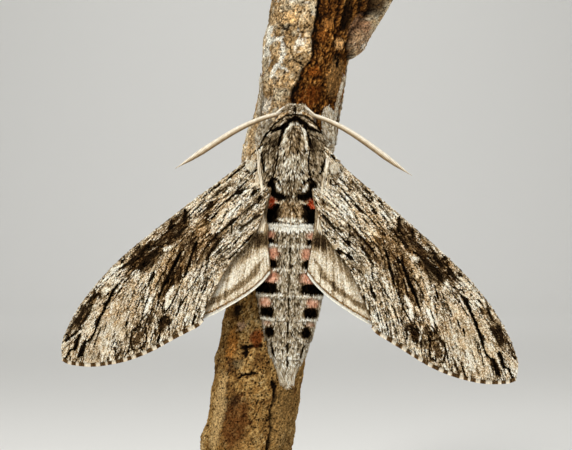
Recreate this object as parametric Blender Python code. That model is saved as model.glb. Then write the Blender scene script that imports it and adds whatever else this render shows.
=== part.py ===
"""A convolvulus hawk moth at rest on a cut length of branch, held on a display stand.

Sizes are in millimetres and become metres when a mesh is made.
The moth's own frame has +X to its right, +Y towards its belly and the branch, +Z towards its head.
Left and right parts are mirrored across X = 0 of that frame.
The world's origin is the middle of the underside of the stand's base.
"""

import math

import bmesh
import bpy
from mathutils import Matrix, Vector

MM = 0.001
GAP = 0.3
SIDES = {"left": -1, "right": 1}

# Where the moth sits: its body axis, how far it leans to its right and how far it turns its right side back.
BODY_X = 0.94
BODY_Y = -12.0
BODY_Z = 58.0
ROLL = math.radians(1.8)
YAW = math.radians(-2.3)

# Stand and branch.
BASE_RADIUS = 33.0
BASE_TOP = 5.7
BASE_BEVEL = 1.0
ROD_RADIUS = 1.6
PERCH_BOTTOM = 14.3
PERCH_TOP = 99.7
PERCH_RADIUS = 7.75
PERCH_Y = 2.4
PERCH_MID_X = -0.82
PERCH_LEAN = 0.15
FORK_START = 88.0
FORK_SPREAD = 0.5
FORK_SWELL = 0.9

# Wings: a roof that falls away from the back, with the forewing over the hindwing.
ROOF_SLOPE = math.radians(21)
WING_SWEEP = math.radians(42.4)
SWEEP_SKEW = math.radians(0.5)
WING_ROOT = (5.4, -2.6, 10.2)
FOREWING_LENGTH = 52.4
CAMBER = 0.9
CAMBER_CHORD = 19.0
TIP_DROOP = 1.8
LAYER_DROP = 1.2
MEMBRANE = 0.52
VEIN_RISE = 0.17
VEIN_ROOT = 0.08
ROOT_THICKENING = 0.2

# Forewing outline in its own plane: distance out from the root, distance back from the long axis.
FORE_COSTA = [(-2.6, -2.4), (4, -2.3), (16, -3.7), (28, -4.95), (33, -5.15), (38, -4.95), (43, -4.3),
              (47.5, -3.0), (50.6, -1.5), (52.4, 0.6)]
FORE_TERMEN = [(52.4, 0.6), (51.2, 2.5), (48, 5.5), (44.3, 7.9), (40.6, 9.75), (36.6, 11.2), (32, 12.4),
               (28, 13.3), (26.4, 13.6), (25, 13.4)]
FORE_INNER = [(1.2, 4.8), (3.9, 6.3), (6.6, 7.9), (10.2, 8.9), (14.2, 9.4), (18, 10.5), (22.5, 12.2), (25, 13.4)]

# Hindwing outline in the same plane.
HIND_COSTA = [(0.6, 1.0), (6, 1.2), (14, 1.6), (22, 2.6), (28, 4.2), (31.5, 6.2)]
HIND_TERMEN = [(31.5, 6.2), (31.8, 8.2), (29.6, 10.9), (25, 13.1), (20, 14.4), (16.6, 15.05), (13.2, 15.3),
               (10.7, 15.1)]
HIND_INNER = [(1.6, 4.4), (4.4, 6.4), (6.0, 8.4), (7.6, 10.6), (9.3, 13.1), (10.7, 15.1)]

# Veins: share of the way back across the wing, and how far out each one starts.
FORE_VEINS = [(0.09, 0.0), (0.2, 0.32), (0.31, 0.0), (0.42, 0.45), (0.54, 0.45), (0.66, 0.3), (0.78, 0.0),
              (0.9, 0.0)]
HIND_VEINS = [(0.1, 0.0), (0.27, 0.3), (0.42, 0.4), (0.57, 0.4), (0.72, 0.0), (0.88, 0.0)]
VEIN_FOOT = 0.022
FORE_ROWS = 15
HIND_ROWS = 10

# Body stations: height along the body, half width, depth above and below the middle, middle.
THORAX = [(18.0, 2.4, 1.1, 0.9, -1.6), (17.2, 3.7, 2.1, 1.7, -1.4), (16.2, 4.5, 3.1, 2.7, -1.1),
          (14.8, 5.2, 4.1, 4.0, -0.5), (13.0, 5.85, 4.8, 4.8, -0.1), (10.8, 6.2, 5.1, 5.1, 0.0),
          (8.4, 6.1, 5.1, 5.1, 0.1), (6.4, 5.8, 4.8, 5.0, 0.3), (4.9, 5.3, 4.3, 4.7, 0.5)]
THORAX_FRONT = 18.45
THORAX_BACK = 4.2
ABDOMEN = [(6.2, 4.7, 3.6, 3.4, 0.9), (2.6, 5.3, 4.1, 3.8, 1.3), (-2.0, 5.9, 4.3, 3.9, 1.6),
           (-7.0, 6.0, 4.35, 3.9, 1.65), (-12.0, 5.85, 4.2, 3.8, 1.6), (-16.0, 5.05, 3.7, 3.5, 1.5),
           (-19.5, 4.15, 3.2, 3.0, 1.5), (-22.5, 3.15, 2.5, 2.3, 1.5), (-25.0, 1.9, 1.5, 1.4, 1.5),
           (-26.8, 0.95, 0.7, 0.7, 1.5)]
ABDOMEN_FRONT = 6.6
ABDOMEN_TIP = -27.4
SEGMENTS = [0.1, -3.5, -7.6, -11.9, -15.9, -19.4, -22.3]
SEGMENT_STEP = 0.22
THORAX_SIDES = 28
THORAX_RINGS = 20
ABDOMEN_SIDES = 24
ABDOMEN_RINGS = 28

# Head: middle and half sizes of each rounded piece.
HEAD_MIDDLE = (0, 1.5, 17.5)
HEAD_SIZE = (2.95, 3.3, 3.1)
EYE_MIDDLE = (2.05, 2.4, 17.7)
EYE_SIZE = (1.5, 1.9, 1.85)
PALP_MIDDLE = (1.25, 3.6, 18.65)
PALP_SIZE = (1.05, 1.25, 2.25)
PALP_TILT = math.radians(14)

# Antenna: where it leaves the head, two guiding points and its tip.
ANTENNA_GUIDES = [(1.9, 0.3, 19.0), (8.9, -0.6, 17.45), (12.2, -1.2, 14.0), (20.1, -0.4, 9.0)]
ANTENNA_RINGS = 22
ANTENNA_SIDES = 8
ANTENNA_RADII = [(0.0, 0.36), (0.12, 0.42), (0.5, 0.53), (0.78, 0.56), (0.88, 0.42), (0.96, 0.16), (1.0, 0.07)]

# Legs. Hip and trochanter lie in the moth's frame; knee, ankle and toe lie round the branch, as an
# angle from the side the moth is on, a height in the world and a distance off the bark.
LEGS = {
    "foreleg": {"hip": (2.6, 3.0, 12.4), "trochanter": (6.3, 5.5, 13.6), "knee": (31, 78.2, 1.9),
                "ankle": (52, 76.6), "toe": (59, 84.2), "thigh": (1.15, 0.66), "spurs": 0},
    "midleg": {"hip": (2.9, 3.4, 9.2), "trochanter": (6.4, 6.1, 8.4), "knee": (62, 67.0, 2.2),
               "ankle": (86, 62.6), "toe": (106, 57.4), "thigh": (0.8, 0.6), "spurs": 1},
    "hindleg": {"hip": (2.6, 3.8, 6.4), "trochanter": (6.2, 6.7, 4.2), "knee": (62, 57.0, 2.1),
                "ankle": (84, 50.4), "toe": (102, 44.4), "thigh": (0.85, 0.62), "spurs": 2},
}
LEFT_FOREKNEE_DROP = 1.8
SHIN_RADII = (0.56, 0.4)
TARSUS_RADII = (0.38, 0.3)
TARSUS_STEPS = 5
CLAW_LENGTH = 0.9
SPUR_LENGTH = 1.9
LEG_SIDES = 7
BARK_CLEARANCE = 0.42

COLOURS = {
    "wing": ((0.36, 0.31, 0.26), 0.85), "fur": ((0.42, 0.37, 0.33), 0.9), "antenna": ((0.78, 0.7, 0.6), 0.55),
    "eye": ((0.05, 0.035, 0.03), 0.12), "leg": ((0.62, 0.57, 0.5), 0.8), "bark": ((0.3, 0.2, 0.12), 0.9),
    "stand_wood": ((0.16, 0.09, 0.05), 0.45), "stand_metal": ((0.6, 0.58, 0.55), 0.3),
}


def clear_scene():
    for obj in list(bpy.data.objects):
        bpy.data.objects.remove(obj)


def material(name):
    found = bpy.data.materials.get(name)
    if found:
        return found
    made = bpy.data.materials.new(name)
    made.use_nodes = True
    shader = made.node_tree.nodes["Principled BSDF"]
    colour, roughness = COLOURS[name]
    shader.inputs["Base Color"].default_value = (*colour, 1.0)
    shader.inputs["Roughness"].default_value = roughness
    shader.inputs["Metallic"].default_value = 1.0 if name == "stand_metal" else 0.0
    return made


def new_object(name, points, faces, finish, parent=None):
    """A mesh object from points in millimetres, with its faces turned outwards."""
    mesh = bpy.data.meshes.new(name)
    mesh.from_pydata([tuple(c * MM for c in p) for p in points], [], faces)
    shell = bmesh.new()
    shell.from_mesh(mesh)
    bmesh.ops.recalc_face_normals(shell, faces=shell.faces)
    shell.to_mesh(mesh)
    shell.free()
    mesh.shade_smooth()
    mesh.materials.append(material(finish))
    obj = bpy.data.objects.new(name, mesh)
    bpy.context.scene.collection.objects.link(obj)
    obj.parent = parent
    return obj


def smooth(x):
    x = min(1.0, max(0.0, x))
    return x * x * (3 - 2 * x)


def hump(x, middle, width):
    return math.exp(-(((x - middle) / width) ** 2))


def spline(points, count):
    """count points at equal steps along a smooth curve through the given points."""
    vectors = [Vector(p) for p in points]
    ends = [2 * vectors[0] - vectors[1], *vectors, 2 * vectors[-1] - vectors[-2]]
    fine = []
    steps = 24
    for a, b, c, d in zip(ends, ends[1:], ends[2:], ends[3:]):
        for k in range(steps):
            t = k / steps
            fine.append(0.5 * (2 * b + (c - a) * t + (2 * a - 5 * b + 4 * c - d) * t**2
                               + (3 * b - a - 3 * c + d) * t**3))
    fine.append(vectors[-1])
    lengths = [0.0]
    for a, b in zip(fine, fine[1:]):
        lengths.append(lengths[-1] + (b - a).length)
    found = []
    at = 0
    for k in range(count):
        wanted = lengths[-1] * k / (count - 1)
        while at < len(fine) - 2 and lengths[at + 1] < wanted:
            at += 1
        span = lengths[at + 1] - lengths[at]
        found.append(fine[at].lerp(fine[at + 1], (wanted - lengths[at]) / span))
    return found


def between(stations, place):
    """The stations' sizes at a place along the body, smoothed, with the stations in falling order."""
    for a, b in zip(stations, stations[1:]):
        if place >= b[0]:
            share = smooth((a[0] - place) / (a[0] - b[0])) * 0.35 + 0.65 * (a[0] - place) / (a[0] - b[0])
            return [p + (q - p) * share for p, q in zip(a[1:], b[1:])]
    return list(stations[-1][1:])


def capped_rings(rings, first=None, last=None):
    """Points and faces of a closed skin over the rings, with a point or a flat fan at each end."""
    count = len(rings[0])
    points = [p for ring in rings for p in ring]
    faces = []
    for k in range(len(rings) - 1):
        for j in range(count):
            a, b = k * count + j, k * count + (j + 1) % count
            faces += [(a, b, b + count), (a, b + count, a + count)]
    for ring_start, tip, flip in ((0, first, 1), ((len(rings) - 1) * count, last, 0)):
        ring = points[ring_start:ring_start + count]
        middle = tip if tip is not None else tuple(sum(c) / count for c in zip(*ring))
        points.append(tuple(middle))
        centre = len(points) - 1
        for j in range(count):
            a, b = ring_start + j, ring_start + (j + 1) % count
            faces.append((b, a, centre) if flip else (a, b, centre))
    return points, faces


def evaluated_mesh(obj):
    graph = bpy.context.evaluated_depsgraph_get()
    return bpy.data.meshes.new_from_object(obj.evaluated_get(graph))


def largest_surface(mesh):
    """Drops all but the largest joined surface of a mesh."""
    shell = bmesh.new()
    shell.from_mesh(mesh)
    left = set(shell.faces)
    islands = []
    while left:
        start = left.pop()
        island = {start}
        edge_of = [start]
        while edge_of:
            face = edge_of.pop()
            for edge in face.edges:
                for other in edge.link_faces:
                    if other in left:
                        left.remove(other)
                        island.add(other)
                        edge_of.append(other)
        islands.append(island)
    keep = max(islands, key=lambda island: sum(face.calc_area() for face in island))
    bmesh.ops.delete(shell, geom=[f for f in shell.faces if f not in keep], context="FACES")
    bmesh.ops.triangulate(shell, faces=shell.faces)
    shell.to_mesh(mesh)
    shell.free()


def apply_modifiers(obj):
    finish = obj.data.materials[0]
    mesh = evaluated_mesh(obj)
    obj.modifiers.clear()
    old = obj.data
    obj.data = mesh
    bpy.data.meshes.remove(old)
    largest_surface(mesh)
    mesh.materials.clear()
    mesh.materials.append(finish)
    mesh.shade_smooth()
    return obj


def grown(obj, amount=GAP):
    """A hidden copy of obj, larger all round by amount, to cut its neighbours with."""
    copy = obj.copy()
    copy.data = obj.data.copy()
    copy.name = obj.name + "_clearance"
    copy.hide_render = True
    copy.display_type = "WIRE"
    bpy.context.scene.collection.objects.link(copy)
    normals = [v.normal.copy() for v in copy.data.vertices]
    for vertex, normal in zip(copy.data.vertices, normals):
        vertex.co += normal * amount * MM
    return copy


def cut(obj, *cutters):
    for cutter in cutters:
        step = obj.modifiers.new("clearance", "BOOLEAN")
        step.operation = "DIFFERENCE"
        step.object = cutter
    return apply_modifiers(obj)


def join(obj, pieces):
    """Fuses the pieces into obj as one closed body."""
    group = bpy.data.collections.new(obj.name + "_pieces")
    bpy.context.scene.collection.children.link(group)
    for piece in pieces:
        bpy.context.scene.collection.objects.unlink(piece)
        group.objects.link(piece)
    step = obj.modifiers.new("join", "BOOLEAN")
    step.operation = "UNION"
    step.operand_type = "COLLECTION"
    step.collection = group
    apply_modifiers(obj)
    for piece in pieces:
        bpy.data.objects.remove(piece)
    bpy.data.collections.remove(group)
    return obj


def ellipsoid(name, middle, size, finish, parent, around=16, rings=9, tilt=0.0):
    """A rounded closed piece, leaning by tilt about X."""
    lean = Matrix.Rotation(tilt, 3, "X")
    made = []
    for k in range(1, rings):
        polar = math.pi * k / rings
        ring = []
        for j in range(around):
            turn = 2 * math.pi * j / around
            local = Vector((size[0] * math.sin(polar) * math.cos(turn),
                            size[1] * math.sin(polar) * math.sin(turn), size[2] * math.cos(polar)))
            ring.append(tuple(Vector(middle) + lean @ local))
        made.append(ring)
    top = Vector(middle) + lean @ Vector((0, 0, size[2]))
    bottom = Vector(middle) - lean @ Vector((0, 0, size[2]))
    points, faces = capped_rings(made, top, bottom)
    return new_object(name, points, faces, finish, parent)


def tube(name, path, widths, finish, parent, sides=LEG_SIDES, side_axis=Vector((0, 1, 0))):
    """A closed tube along a path. widths holds a half width and a half depth for each point."""
    rings = []
    for k, point in enumerate(path):
        ahead = path[min(k + 1, len(path) - 1)] - path[max(k - 1, 0)]
        ahead.normalize()
        depth = (side_axis - ahead * side_axis.dot(ahead)).normalized()
        across = ahead.cross(depth)
        wide, deep = widths[k]
        rings.append([tuple(point + across * wide * math.cos(a) + depth * deep * math.sin(a))
                      for a in (2 * math.pi * j / sides for j in range(sides))])
    start = path[0] - (path[1] - path[0]).normalized() * widths[0][0] * 0.5
    stop = path[-1] + (path[-1] - path[-2]).normalized() * widths[-1][0] * 0.5
    points, faces = capped_rings(rings, tuple(start), tuple(stop))
    return new_object(name, points, faces, finish, parent)


def wing_lift(out, back, inward):
    """How far the wing's middle surface stands off its flat plane, towards the back of the moth."""
    arch = CAMBER * math.sin(math.pi * min(1.0, max(0.0, (back + 5) / CAMBER_CHORD)))
    near_body = 0.05 * max(0.0, 1.2 - inward) ** 2
    return arch * smooth(out / 14) + near_body - TIP_DROOP * (max(0.0, out) / FOREWING_LENGTH) ** 2


def wing_point(out, back, offset, side):
    """A point of the wing's plane in the moth's frame."""
    sweep = WING_SWEEP + side * SWEEP_SKEW
    inward = out * math.cos(sweep) - back * math.sin(sweep)
    down = out * math.sin(sweep) + back * math.cos(sweep)
    lift = wing_lift(out, back, inward) + offset
    x = WING_ROOT[0] + inward * math.cos(ROOF_SLOPE) + lift * math.sin(ROOF_SLOPE)
    y = WING_ROOT[1] + inward * math.sin(ROOF_SLOPE) - lift * math.cos(ROOF_SLOPE)
    return side * x, y, WING_ROOT[2] - down


def vein_height(across, along, veins):
    """Height of the veins above the membrane at a share across and along the wing."""
    height = 0.0
    for place, start in veins:
        if abs(across - place) < VEIN_FOOT * 0.5:
            height = VEIN_RISE * smooth(along / VEIN_ROOT) * smooth((along - start) / 0.05 + 1) * (1 - 0.4 * along)
    return height


def columns_of(veins):
    """Shares across the wing: both edges, and each vein's crest and feet."""
    shares = [0.0]
    for place, _ in veins:
        shares += [place - VEIN_FOOT, place, place + VEIN_FOOT]
    shares.append(1.0)
    return shares


def wing_grid(costa, termen, inner, columns, rows):
    """Rows of plane points that fill the outline from the root to the outer margin."""
    front = spline(costa, rows + 1)
    rear = spline(inner, rows + 1)
    margin = spline(termen, 201)
    grid = []
    for k in range(rows + 1):
        along = k / rows
        line = []
        for across in columns:
            outer = margin[round(across * 200)]
            straight_outer = front[-1].lerp(rear[-1], across)
            line.append(front[k].lerp(rear[k], across) + (outer - straight_outer) * along)
        grid.append(line)
    return grid


def wing(name, side, outline, veins, rows, drop, finish, parent):
    """A wing as one thin closed body, with its veins raised on both faces."""
    columns = columns_of(veins)
    grid = wing_grid(*outline, columns, rows)
    wide = len(columns)
    upper, lower = [], []
    for k, line in enumerate(grid):
        for across, place in zip(columns, line):
            along = k / rows
            half = MEMBRANE / 2 + vein_height(across, along, veins) + ROOT_THICKENING * (1 - smooth(along * 5)) / 2
            upper.append(wing_point(place[0], place[1], half - drop, side))
            lower.append(wing_point(place[0], place[1], -half - drop, side))
    points = upper + lower
    below = len(upper)
    faces = []
    for k in range(rows):
        for j in range(wide - 1):
            a, b, c, d = k * wide + j, k * wide + j + 1, (k + 1) * wide + j + 1, (k + 1) * wide + j
            faces += [(a, b, c), (a, c, d), (below + c, below + b, below + a), (below + d, below + c, below + a)]
    rim = [j for j in range(wide)] + [k * wide + wide - 1 for k in range(1, rows + 1)]
    rim += [rows * wide + j for j in range(wide - 2, -1, -1)] + [k * wide for k in range(rows - 1, 0, -1)]
    for a, b in zip(rim, rim[1:] + rim[:1]):
        faces += [(a, below + a, below + b), (a, below + b, b)]
    return new_object(name, points, faces, finish, parent)


def thorax_relief(turn, height):
    """Collar, shoulder plates, back crest and the two rear tufts, as height above the plain form."""
    side = abs(math.degrees(turn))
    collar = 0.4 * hump(height, 16.4 - 0.0006 * side**2, 0.8) * hump(side, 0, 95)
    groove = -0.32 * hump(height, 15.1 - 0.0006 * side**2, 0.45) * hump(side, 0, 70)
    plate = 0.45 * hump(side, 62, 13) * smooth((height - 4.9) / 1.5) * smooth((14.6 - height) / 2)
    crest = 0.3 * hump(side, 0, 14) * smooth((height - 5) / 3) * smooth((15 - height) / 2)
    tuft = 0.75 * hump(side, 36, 13) * hump(height, 6.4, 1.1)
    return collar + groove + plate + crest + tuft


def abdomen_relief(_, height):
    """Each ring of the abdomen laps over the next with a small step."""
    ahead = ABDOMEN_FRONT
    for edge in SEGMENTS:
        if height > edge:
            return SEGMENT_STEP * (0.5 - (height - edge) / (ahead - edge))
        ahead = edge
    return 0.0


def body_piece(name, stations, front, back, relief, sides, count, parent):
    """A piece of the body as rings of a rounded section, from its front end to its back end."""
    rings = []
    first, last = stations[0], stations[-1]
    for k in range(count):
        height = first[0] + (last[0] - first[0]) * k / (count - 1)
        wide, above, beneath, middle = between(stations, height)
        ring = []
        for j in range(sides):
            turn = 2 * math.pi * j / sides
            turn = turn - 2 * math.pi if turn > math.pi else turn
            deep = above if abs(turn) < math.pi / 2 else beneath
            more = relief(turn, height) if abs(turn) < math.pi * 0.6 else relief(turn, height) * 0.3
            across = wide * math.sin(turn)
            up = -deep * math.cos(turn)
            reach = math.hypot(across, up)
            ring.append((across * (1 + more / reach), middle + up * (1 + more / reach), height))
        rings.append(ring)
    points, faces = capped_rings(rings, (0, first[4], front), (0, last[4], back))
    return new_object(name, points, faces, "fur", parent)


def perch_x(height):
    return PERCH_MID_X + PERCH_LEAN * (height - BODY_Z)


def perch_radius(turn, height):
    """Distance of the bark from the branch's middle line. turn is 0 on the moth's side and grows to +X."""
    plates = 0.16 * math.sin(3 * turn + 0.11 * height) + 0.13 * math.sin(5 * turn - 0.17 * height + 1.0)
    rings = 0.12 * math.sin(0.9 * height + 2 * math.sin(2 * turn)) * math.sin(2 * turn + 0.6)
    ridge = 1.25 * hump(math.degrees(turn), -97, 15) * hump(height, 71.5, 6)
    chip = 0.8 * hump(math.degrees(turn), -93, 12) * hump(height, 20.0, 2.6)
    bulge = 0.45 * hump(math.degrees(turn), -88, 28) * (hump(height, 33.5, 7) + hump(height, 90.5, 3))
    widening = FORK_SPREAD * max(0.0, height - FORK_START) + FORK_SWELL * smooth((height - FORK_START + 0.5) / 2)
    fork = widening * hump(math.degrees(turn), 96, 24)
    return PERCH_RADIUS + plates + rings + ridge + chip + bulge + fork


def perch_place(degrees, height, off):
    """A point outside the bark, in world millimetres."""
    turn = math.radians(degrees)
    reach = perch_radius(turn, height) + off
    return Vector((perch_x(height) + reach * math.sin(turn), PERCH_Y - reach * math.cos(turn), height))


def make_perch():
    sides, count = 30, 24
    rings = []
    for k in range(count):
        height = PERCH_BOTTOM + (PERCH_TOP - PERCH_BOTTOM) * k / (count - 1)
        rings.append([tuple(perch_place(360 * j / sides if j <= sides / 2 else 360 * j / sides - 360, height, 0))
                      for j in range(sides)])
    points, faces = capped_rings(rings)
    return new_object("perch", points, faces, "bark")


def turned(name, profile, sides, finish):
    """A turned piece from (radius, height) pairs, bottom to top."""
    rings = [[(r * math.cos(2 * math.pi * j / sides), r * math.sin(2 * math.pi * j / sides), z)
              for j in range(sides)] for r, z in profile]
    points, faces = capped_rings(rings)
    return new_object(name, points, faces, finish)


def make_stand():
    edge = BASE_RADIUS - BASE_BEVEL
    base = turned("stand_base", [(edge, 0), (BASE_RADIUS, BASE_BEVEL), (BASE_RADIUS, BASE_TOP - BASE_BEVEL),
                                 (BASE_RADIUS - 0.3 * BASE_BEVEL, BASE_TOP - 0.3 * BASE_BEVEL), (edge, BASE_TOP)],
                  48, "stand_wood")
    rod = turned("stand_rod", [(ROD_RADIUS, BASE_TOP + GAP), (ROD_RADIUS, PERCH_BOTTOM - GAP)], 16, "stand_metal")
    rod.location = (perch_x(PERCH_BOTTOM) * MM, PERCH_Y * MM, 0)
    return base, rod


def antenna_radius(share):
    for (a, r), (b, s) in zip(ANTENNA_RADII, ANTENNA_RADII[1:]):
        if share <= b:
            return r + (s - r) * (share - a) / (b - a)
    return ANTENNA_RADII[-1][1]


def make_antenna(name, side, parent):
    guides = [Vector((side * x, y, z)) for x, y, z in ANTENNA_GUIDES]
    path = []
    for k in range(ANTENNA_RINGS + 1):
        t = k / ANTENNA_RINGS
        weights = ((1 - t) ** 3, 3 * t * (1 - t) ** 2, 3 * t**2 * (1 - t), t**3)
        path.append(sum((g * w for g, w in zip(guides, weights)), Vector()))
    widths = [(antenna_radius(k / ANTENNA_RINGS),) * 2 for k in range(ANTENNA_RINGS + 1)]
    return tube(name, path, widths, "antenna", parent, ANTENNA_SIDES)


def straight(a, b, count):
    return [a.lerp(b, k / (count - 1)) for k in range(count)]


def make_leg(name, kind, side, moth):
    """A leg from its hip to its claws, with the foot on the bark."""
    shape = LEGS[kind]
    to_moth = moth.matrix_world.inverted()

    def round_branch(degrees, height, off):
        return (to_moth @ (perch_place(side * degrees, height, off) * MM)) / MM

    hip = Vector((side * shape["hip"][0], *shape["hip"][1:]))
    trochanter = Vector((side * shape["trochanter"][0], *shape["trochanter"][1:]))
    degrees, height, off = shape["knee"]
    if kind == "foreleg" and side < 0:
        height -= LEFT_FOREKNEE_DROP
    knee = round_branch(degrees, height, off)
    ankle = round_branch(*shape["ankle"], BARK_CLEARANCE + TARSUS_RADII[0])
    wide, deep = shape["thigh"]
    coxa = tube(name, straight(hip, trochanter, 4), [(wide * 0.9, deep * 1.1)] * 4, "leg", moth)
    thigh_widths = [(wide * (0.75 + 0.35 * math.sin(math.pi * (0.15 + 0.7 * k / 5))), deep) for k in range(6)]
    pieces = [tube(name + "_thigh", straight(trochanter, knee, 6), thigh_widths, "leg", moth)]
    shin_widths = [(SHIN_RADII[0] + (SHIN_RADII[1] - SHIN_RADII[0]) * k / 4,) * 2 for k in range(5)]
    pieces.append(tube(name + "_shin", straight(knee, ankle, 5), shin_widths, "leg", moth))
    foot = []
    widths = []
    for k in range(2 * TARSUS_STEPS + 1):
        share = k / (2 * TARSUS_STEPS)
        radius = TARSUS_RADII[0] + (TARSUS_RADII[1] - TARSUS_RADII[0]) * share - (0.05 if k % 2 else 0.0)
        (d0, z0), (d1, z1) = shape["ankle"], shape["toe"]
        foot.append(round_branch(d0 + (d1 - d0) * share, z0 + (z1 - z0) * share, BARK_CLEARANCE + TARSUS_RADII[0]))
        widths.append((radius, radius))
    pieces.append(tube(name + "_foot", foot, widths, "leg", moth))
    ahead = (foot[-1] - foot[-2]).normalized()
    sideways = ahead.cross(Vector((0, 1, 0))).normalized()
    for k, spread in enumerate((-1, 1)):
        tip = foot[-1] + (ahead + sideways * 0.5 * spread).normalized() * CLAW_LENGTH
        claw = straight(foot[-1] - ahead * 0.2, tip, 3)
        pieces.append(tube(f"{name}_claw_{k}", claw, [(0.17, 0.17), (0.13, 0.13), (0.05, 0.05)], "leg", moth, 5))
    along = (ankle - knee).normalized()
    for k in range(2 * shape["spurs"]):
        start = knee.lerp(ankle, 0.9 if k < 2 else 0.55)
        outwards = along.cross(Vector((0, 0, 1))).normalized() * (1 if k % 2 else -1)
        tip = start + (along + outwards * 0.45).normalized() * SPUR_LENGTH
        spur = straight(start - along * 0.2, tip, 3)
        pieces.append(tube(f"{name}_spur_{k}", spur, [(0.2, 0.2), (0.16, 0.16), (0.05, 0.05)], "leg", moth, 5))
    return join(coxa, pieces)


def make_moth():
    moth = bpy.data.objects.new("moth", None)
    bpy.context.scene.collection.objects.link(moth)
    moth.location = (BODY_X * MM, BODY_Y * MM, BODY_Z * MM)
    moth.rotation_euler = (0, ROLL, YAW)
    bpy.context.view_layer.update()

    thorax = body_piece("thorax", THORAX, THORAX_FRONT, THORAX_BACK, thorax_relief, THORAX_SIDES,
                        THORAX_RINGS, moth)
    abdomen = body_piece("abdomen", ABDOMEN, ABDOMEN_FRONT, ABDOMEN_TIP, abdomen_relief, ABDOMEN_SIDES,
                         ABDOMEN_RINGS, moth)
    head = ellipsoid("head", HEAD_MIDDLE, HEAD_SIZE, "fur", moth, 20, 12)
    round_thorax, round_head = grown(thorax), grown(head)
    cut(head, round_thorax)
    cut(abdomen, round_thorax)
    for word, side in SIDES.items():
        eye = ellipsoid(f"eye_{word}", (side * EYE_MIDDLE[0], *EYE_MIDDLE[1:]), EYE_SIZE, "eye", moth, 14, 9)
        cut(eye, round_head, round_thorax)
        palp = ellipsoid(f"palp_{word}", (side * PALP_MIDDLE[0], *PALP_MIDDLE[1:]), PALP_SIZE, "fur", moth, 12, 9,
                         PALP_TILT)
        cut(palp, round_head, grown(eye))
        cut(make_antenna(f"antenna_{word}", side, moth), round_head)
        forewing = wing(f"forewing_{word}", side, (FORE_COSTA, FORE_TERMEN, FORE_INNER), FORE_VEINS, FORE_ROWS,
                        0.0, "wing", moth)
        cut(forewing, round_thorax)
        hindwing = wing(f"hindwing_{word}", side, (HIND_COSTA, HIND_TERMEN, HIND_INNER), HIND_VEINS, HIND_ROWS,
                        LAYER_DROP, "wing", moth)
        cut(hindwing, round_thorax)
        for kind in LEGS:
            cut(make_leg(f"{kind}_{word}", kind, side, moth), round_thorax)


clear_scene()
make_stand()
make_perch()
make_moth()
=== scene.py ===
"""The looks of a convolvulus hawk moth that rests on a cut length of branch, on a display stand.

Sizes are in millimetres and become metres when a mesh is made.
The moth's own frame has +X to its right, +Y towards its belly and the branch, +Z towards its head.
Its left and right sides are mirrored across X = 0 of that frame.
"""

import math

import bpy
import numpy as np
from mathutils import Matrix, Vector


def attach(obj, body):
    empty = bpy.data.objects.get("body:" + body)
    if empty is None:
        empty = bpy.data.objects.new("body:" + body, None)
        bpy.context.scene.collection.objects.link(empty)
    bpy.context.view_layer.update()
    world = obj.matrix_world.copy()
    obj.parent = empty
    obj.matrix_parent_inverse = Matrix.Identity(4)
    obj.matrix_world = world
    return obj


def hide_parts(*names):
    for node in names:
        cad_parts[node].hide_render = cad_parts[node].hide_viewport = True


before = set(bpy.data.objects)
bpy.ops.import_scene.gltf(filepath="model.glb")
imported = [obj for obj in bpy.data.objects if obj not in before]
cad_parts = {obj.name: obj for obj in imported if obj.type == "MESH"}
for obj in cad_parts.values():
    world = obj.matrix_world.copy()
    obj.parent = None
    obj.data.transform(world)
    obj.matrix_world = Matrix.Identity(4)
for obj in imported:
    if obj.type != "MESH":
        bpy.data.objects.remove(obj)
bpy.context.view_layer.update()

MM = 0.001
BODY = "root"
SIDES = {"left": -1, "right": 1}

# The photograph's frame: its width, and the millimetres a pixel covers where the moth's body is.
FRAME_WIDTH = 572
PIXEL = 0.17
VIEW_DISTANCE = 270.0
LENS = 100.0

# Where the moth sits, how far it leans to its right and how far it turns its right side back.
BODY_PLACE = np.array([0.94, -12.0, 58.0])
ROLL = math.radians(1.8)
YAW = math.radians(-2.3)


# Small sums


def smooth(x):
    """A soft step from 0 to 1."""
    x = np.clip(x, 0.0, 1.0)
    return x * x * (3 - 2 * x)


def hump(x, middle, width):
    """A soft rise to 1 at the middle, and back to 0."""
    return np.exp(-(((x - middle) / width) ** 2))


def mix(a, b, share):
    return a + (b - a) * share


def unit(vectors):
    return vectors / np.maximum(np.linalg.norm(vectors, axis=-1, keepdims=True), 1e-9)


def around(columns):
    """The angles of columns once round a piece, from -pi on."""
    return np.linspace(-math.pi, math.pi, columns, endpoint=False)


def mirrored(place, side):
    """A place of the moth's right side, or for side -1 its twin on the left."""
    x, y, z = place
    return (side * x, y, z)


def moth_axes():
    """The moth's own axes in the world, one in each column."""
    c, s, cy, sy = math.cos(ROLL), math.sin(ROLL), math.cos(YAW), math.sin(YAW)
    lean = np.array([[c, 0, s], [0, 1, 0], [-s, 0, c]])
    turn = np.array([[cy, -sy, 0], [sy, cy, 0], [0, 0, 1]])
    return turn @ lean


def to_world(points):
    """From the moth's frame to the world."""
    return np.asarray(points) @ moth_axes().T + BODY_PLACE


def linear(srgb):
    """A colour from the 0 to 255 values of a picture, as linear light."""
    c = np.asarray(srgb, dtype=float) / 255
    return np.where(c <= 0.04045, c / 12.92, ((c + 0.055) / 1.055) ** 2.4)


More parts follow.
